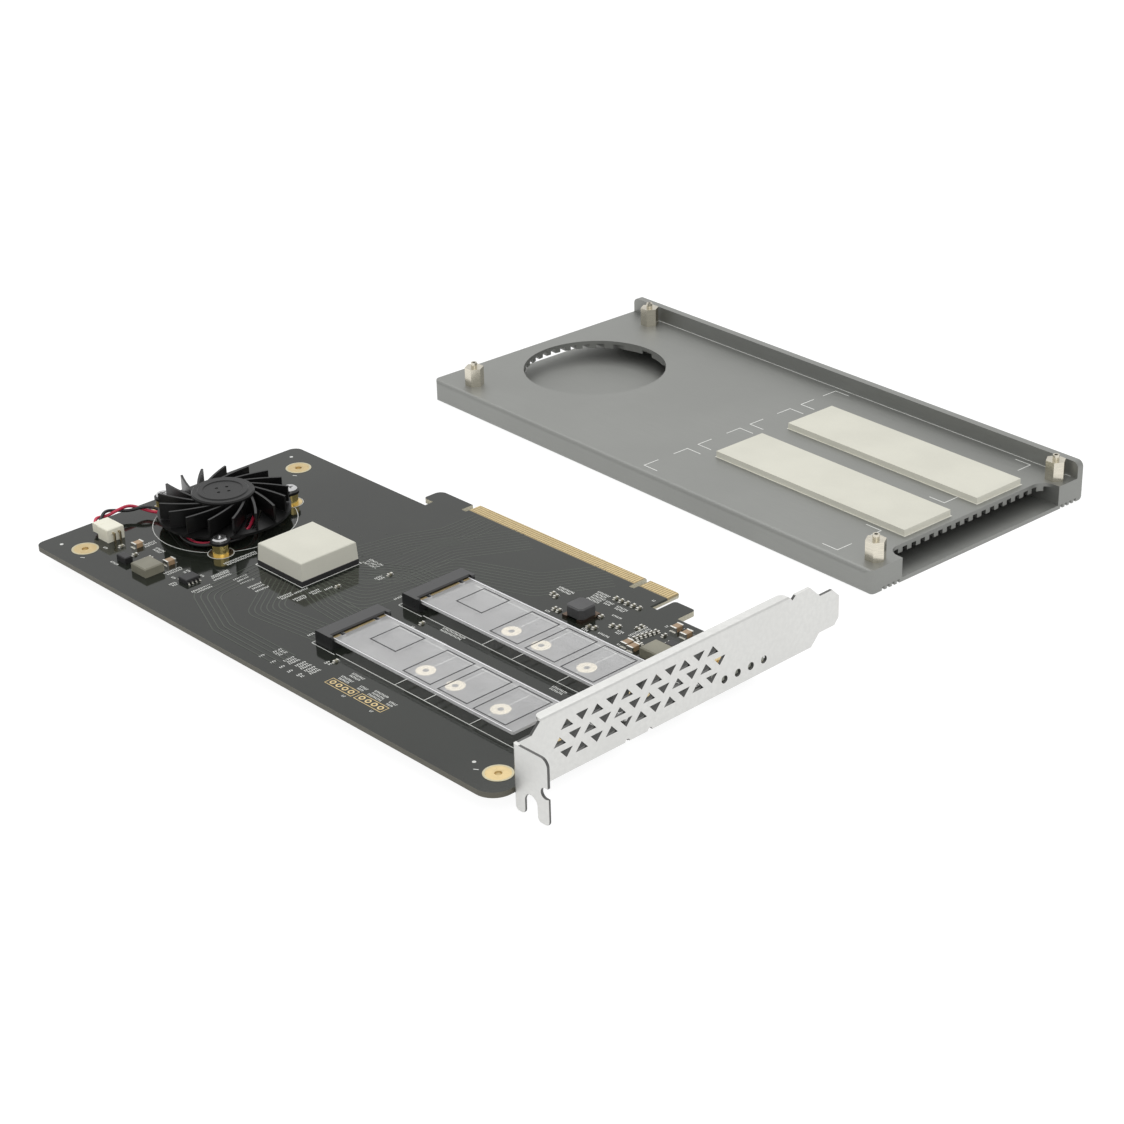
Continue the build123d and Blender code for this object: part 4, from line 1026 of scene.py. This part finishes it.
class CARD_OT_blank_marks(Operator):
    """Draw the dark fields and the pale edges of the module blanks."""

    bl_idname = "card.blank_marks"
    bl_label = "Blank fields"

    def execute(self, context):
        dark = component_finish("blank_line", (0.010, 0.010, 0.014), 0.4)
        top = (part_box("module_blank_near")[1].z - CARD.z) / MM + LIFT
        marks, rim = Marks(on_card, top, 0.02), Marks(on_card, top, 0.02)
        for row in MODULE_ROWS:
            for start, end, near, far in BLANK_FIELDS:
                marks.frame((start, row + near), (end, row + far), 0.42)
        marks.done("blank_fields", dark, "blank_plastic")
        for node in ("module_blank_near", "module_blank_far"):
            low, high = ((corner - CARD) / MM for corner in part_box(node))
            for y, width in ((high.y - 0.3, 0.4), (low.y + 0.25, 0.25)):
                rim.line((MODULE_DATUM + 1.0, y), (high.x - 0.8, y), width)
        pale = component_finish("blank_rim", (0.80, 0.80, 0.82), 0.4, 0.04)
        rim.done("blank_rims", pale, "blank_plastic")
        return {"FINISHED"}


class CARD_OT_solder(Operator):
    """Add plated ends and solder feet to the small parts."""

    bl_idname = "card.solder"
    bl_label = "Plated ends"

    def execute(self, context):
        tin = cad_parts["memory_legs"].data.materials[0]
        end_caps("capacitor_ends", "ceramic_capacitors", tin, 0.16, 0.35)
        end_caps("small_ends", "small_parts", tin, 0.24, 0.3)
        return {"FINISHED"}


# Corner marks of the four fields on the cover, in cover sizes: ends, arm, line, and each field's sides
COVER_FIELD_START, COVER_FIELD_END = 102.2, 185.2
COVER_FIELD_ARM, COVER_LINE = 6.0, 0.3
COVER_FIELDS = ((3.6, 22.2), (26.8, 45.4), (50.0, 68.4), (73.5, 89.9))
LIP_FOOT = 92.1


class CARD_OT_cover_marks(Operator):
    """Print the fields' corner marks on the cover, and add the lip's foot line, a painted highlight for a
    fine groove there, and the pads' liners.
    """

    bl_idname = "card.cover_marks"
    bl_label = "Cover marks"

    def execute(self, context):
        pale = component_finish("cover_print", (0.82, 0.83, 0.80), 0.5, 0.04)
        top = COVER_TOP + LIFT
        marks = Marks(on_cover, top)
        for near, far in COVER_FIELDS:
            for x, way in ((COVER_FIELD_START, 1), (COVER_FIELD_END, -1)):
                for y, turn in ((near, 1), (far, -1)):
                    marks.line((x - way * COVER_LINE / 2, y), (x + way * COVER_FIELD_ARM, y), COVER_LINE)
                    marks.line((x, y + turn * COVER_LINE / 2), (x, y + turn * COVER_FIELD_ARM), COVER_LINE)
        marks.done("cover_marks", pale)
        # Painted highlight: a pale line at the lip's foot stands for the light on a fine groove there
        foot = Marks(on_cover, top, 0.05)
        foot.line((4.0, LIP_FOOT), (199.0, LIP_FOOT), 0.25)
        foot.done("cover_lip_foot", pale, "cover_aluminium")
        sheets = Marks(on_cover, top, 0.06)
        for node in ("cover_pad_near", "cover_pad_far"):
            corner = COVER_SPIN.inverted() @ (pad_corner(node) - COVER) / MM
            length, width = pad_size(node)
            left, right = corner.x - 0.3, corner.x + length + 0.5
            near, far = corner.y - 0.3, corner.y + width + 0.3
            sheets.prism([(left, near), (right, near), (right, far), (left, far)])
        sheets.done("pad_liners", component_finish("pad_liner", (0.78, 0.77, 0.70), 0.35, 0.04), "gum")
        return {"FINISHED"}


class CARD_OT_stage(Operator):
    """Set up the floor, the even light, the lamps and the camera."""

    bl_idname = "card.stage"
    bl_label = "Studio"

    def execute(self, context):
        self.add_floor(context)
        self.add_sky(context)
        self.add_lamps(context)
        self.add_camera(context)
        context.scene.view_settings.view_transform = "Standard"
        return {"FINISHED"}

    def add_floor(self, context):
        """A white floor that keeps the shadow."""
        half, drop = context.scene.stage_settings.floor_size / 2, 0.1 * MM
        shape = bmesh.new()
        corners = ((-half, -half), (half, -half), (half, half), (-half, half))
        shape.faces.new([shape.verts.new((x, y, -drop)) for x, y in corners])
        finish = Finish("floor_paper", Roughness=0.9, Specular_IOR_Level=0.0, Emission_Strength=1.0)
        path = finish.node("ShaderNodeLightPath").outputs
        seen = Value(finish, path["Is Camera Ray"]).math("MAXIMUM", path["Is Glossy Ray"])
        seen = seen.math("MAXIMUM", path["Is Transmission Ray"])
        paper = finish.feed(
            Base_Color=finish.mix(seen, (0.72, 0.72, 0.72), (0.18, 0.18, 0.18)),
            Emission_Color=finish.mix(seen, (0.0, 0.0, 0.0), (0.92, 0.92, 0.92)),
        )
        floor = add_mesh("floor", shape, paper)

    def add_sky(self, context):
        """An even sky that is white behind the object and softer as a light."""
        world = bpy.data.worlds.new("studio")
        context.scene.world = world
        nodes = Nodes(world)
        path = nodes.node("ShaderNodeLightPath").outputs
        seen = Value(nodes, path["Is Camera Ray"]).math("MAXIMUM", path["Is Transmission Ray"])
        level = nodes.node("ShaderNodeMix", {"data_type": "FLOAT"},
                           {0: seen, 2: context.scene.stage_settings.sky_level, 3: 1.0})
        light = nodes.node("ShaderNodeBackground", inputs={"Color": (1, 1, 1), "Strength": level.outputs[0]})
        nodes.node("ShaderNodeOutputWorld", inputs={"Surface": light.outputs[0]})

    def add_lamps(self, context):
        """A large soft key from the left and behind, and a weak fill from the right."""
        settings = context.scene.stage_settings
        for name, spot, size, power in (("key", (-0.55, 0.35, 1.1), 1.1, settings.key_level),
                                        ("fill", (0.9, -0.5, 0.8), 0.9, settings.fill_level)):
            lamp = bpy.data.lights.new(name, "AREA")
            lamp.shape = "SQUARE"
            lamp.size = size
            lamp.energy = power
            piece = add_object(name, lamp)
            piece.location = spot
            piece.rotation_mode = "QUATERNION"
            piece.rotation_quaternion = (-Vector(spot)).to_track_quat("-Z", "Y")

    def add_camera(self, context):
        """The camera stands where the photograph was taken from."""
        view = context.scene.view_settings_card
        camera = bpy.data.cameras.new("camera")
        camera.sensor_fit = "HORIZONTAL"
        camera.sensor_width = 36.0
        camera.lens = view.lens
        camera.clip_start, camera.clip_end = 0.01, 20.0
        level = math.cos(view.elevation)
        back = Vector((math.sin(view.azimuth) * level, -math.cos(view.azimuth) * level,
                       math.sin(view.elevation)))
        right = Vector((0, 0, 1)).cross(back).normalized()
        up = back.cross(right)
        lean, rise = math.cos(view.roll), math.sin(view.roll)
        turned = Matrix((right * lean + up * rise, up * lean - right * rise, back)).transposed()
        piece = add_object("camera", camera)
        stand = Matrix.Translation(on_card(view.aim_x, view.aim_y) + back * view.distance)
        piece.matrix_world = stand @ turned.to_4x4()
        context.scene.camera = piece


OPERATORS = (
    CARD_OT_finishes, CARD_OT_leads, CARD_OT_print, CARD_OT_gold_print, CARD_OT_traces, CARD_OT_blank_marks,
    CARD_OT_solder, CARD_OT_cover_marks, CARD_OT_stage,
)
GROUPS = {
    "card_colours": CardColours,
    "cover_colours": CoverColours,
    "view_settings_card": ViewSettings,
    "stage_settings": StageSettings,
    "print_settings": PrintSettings,
}


class CARD_PT_looks(Panel):
    """Lists the card's looks in the sidebar."""

    bl_label = "Adapter Card"
    bl_idname = "CARD_PT_looks"
    bl_space_type = "VIEW_3D"
    bl_region_type = "UI"
    bl_category = "Adapter Card"

    def draw(self, context):
        for name, group in GROUPS.items():
            box = self.layout.box()
            box.label(text=group.__doc__)
            for key in group.__annotations__:
                box.prop(getattr(context.scene, name), key)
        for operator in OPERATORS:
            self.layout.operator(operator.bl_idname)


def register():
    for item in (*GROUPS.values(), *OPERATORS, CARD_PT_looks):
        bpy.utils.register_class(item)
    for name, group in GROUPS.items():
        setattr(bpy.types.Scene, name, PointerProperty(type=group))


def unregister():
    for name in GROUPS:
        delattr(bpy.types.Scene, name)
    for item in (CARD_PT_looks, *reversed(OPERATORS), *reversed(GROUPS.values())):
        bpy.utils.unregister_class(item)


def main():
    register()
    bpy.ops.card.finishes()
    bpy.ops.card.leads()
    bpy.ops.card.print()
    bpy.ops.card.gold_print()
    bpy.ops.card.traces()
    bpy.ops.card.blank_marks()
    bpy.ops.card.solder()
    bpy.ops.card.cover_marks()
    bpy.ops.card.stage()


if __name__ == "__main__":
    main()
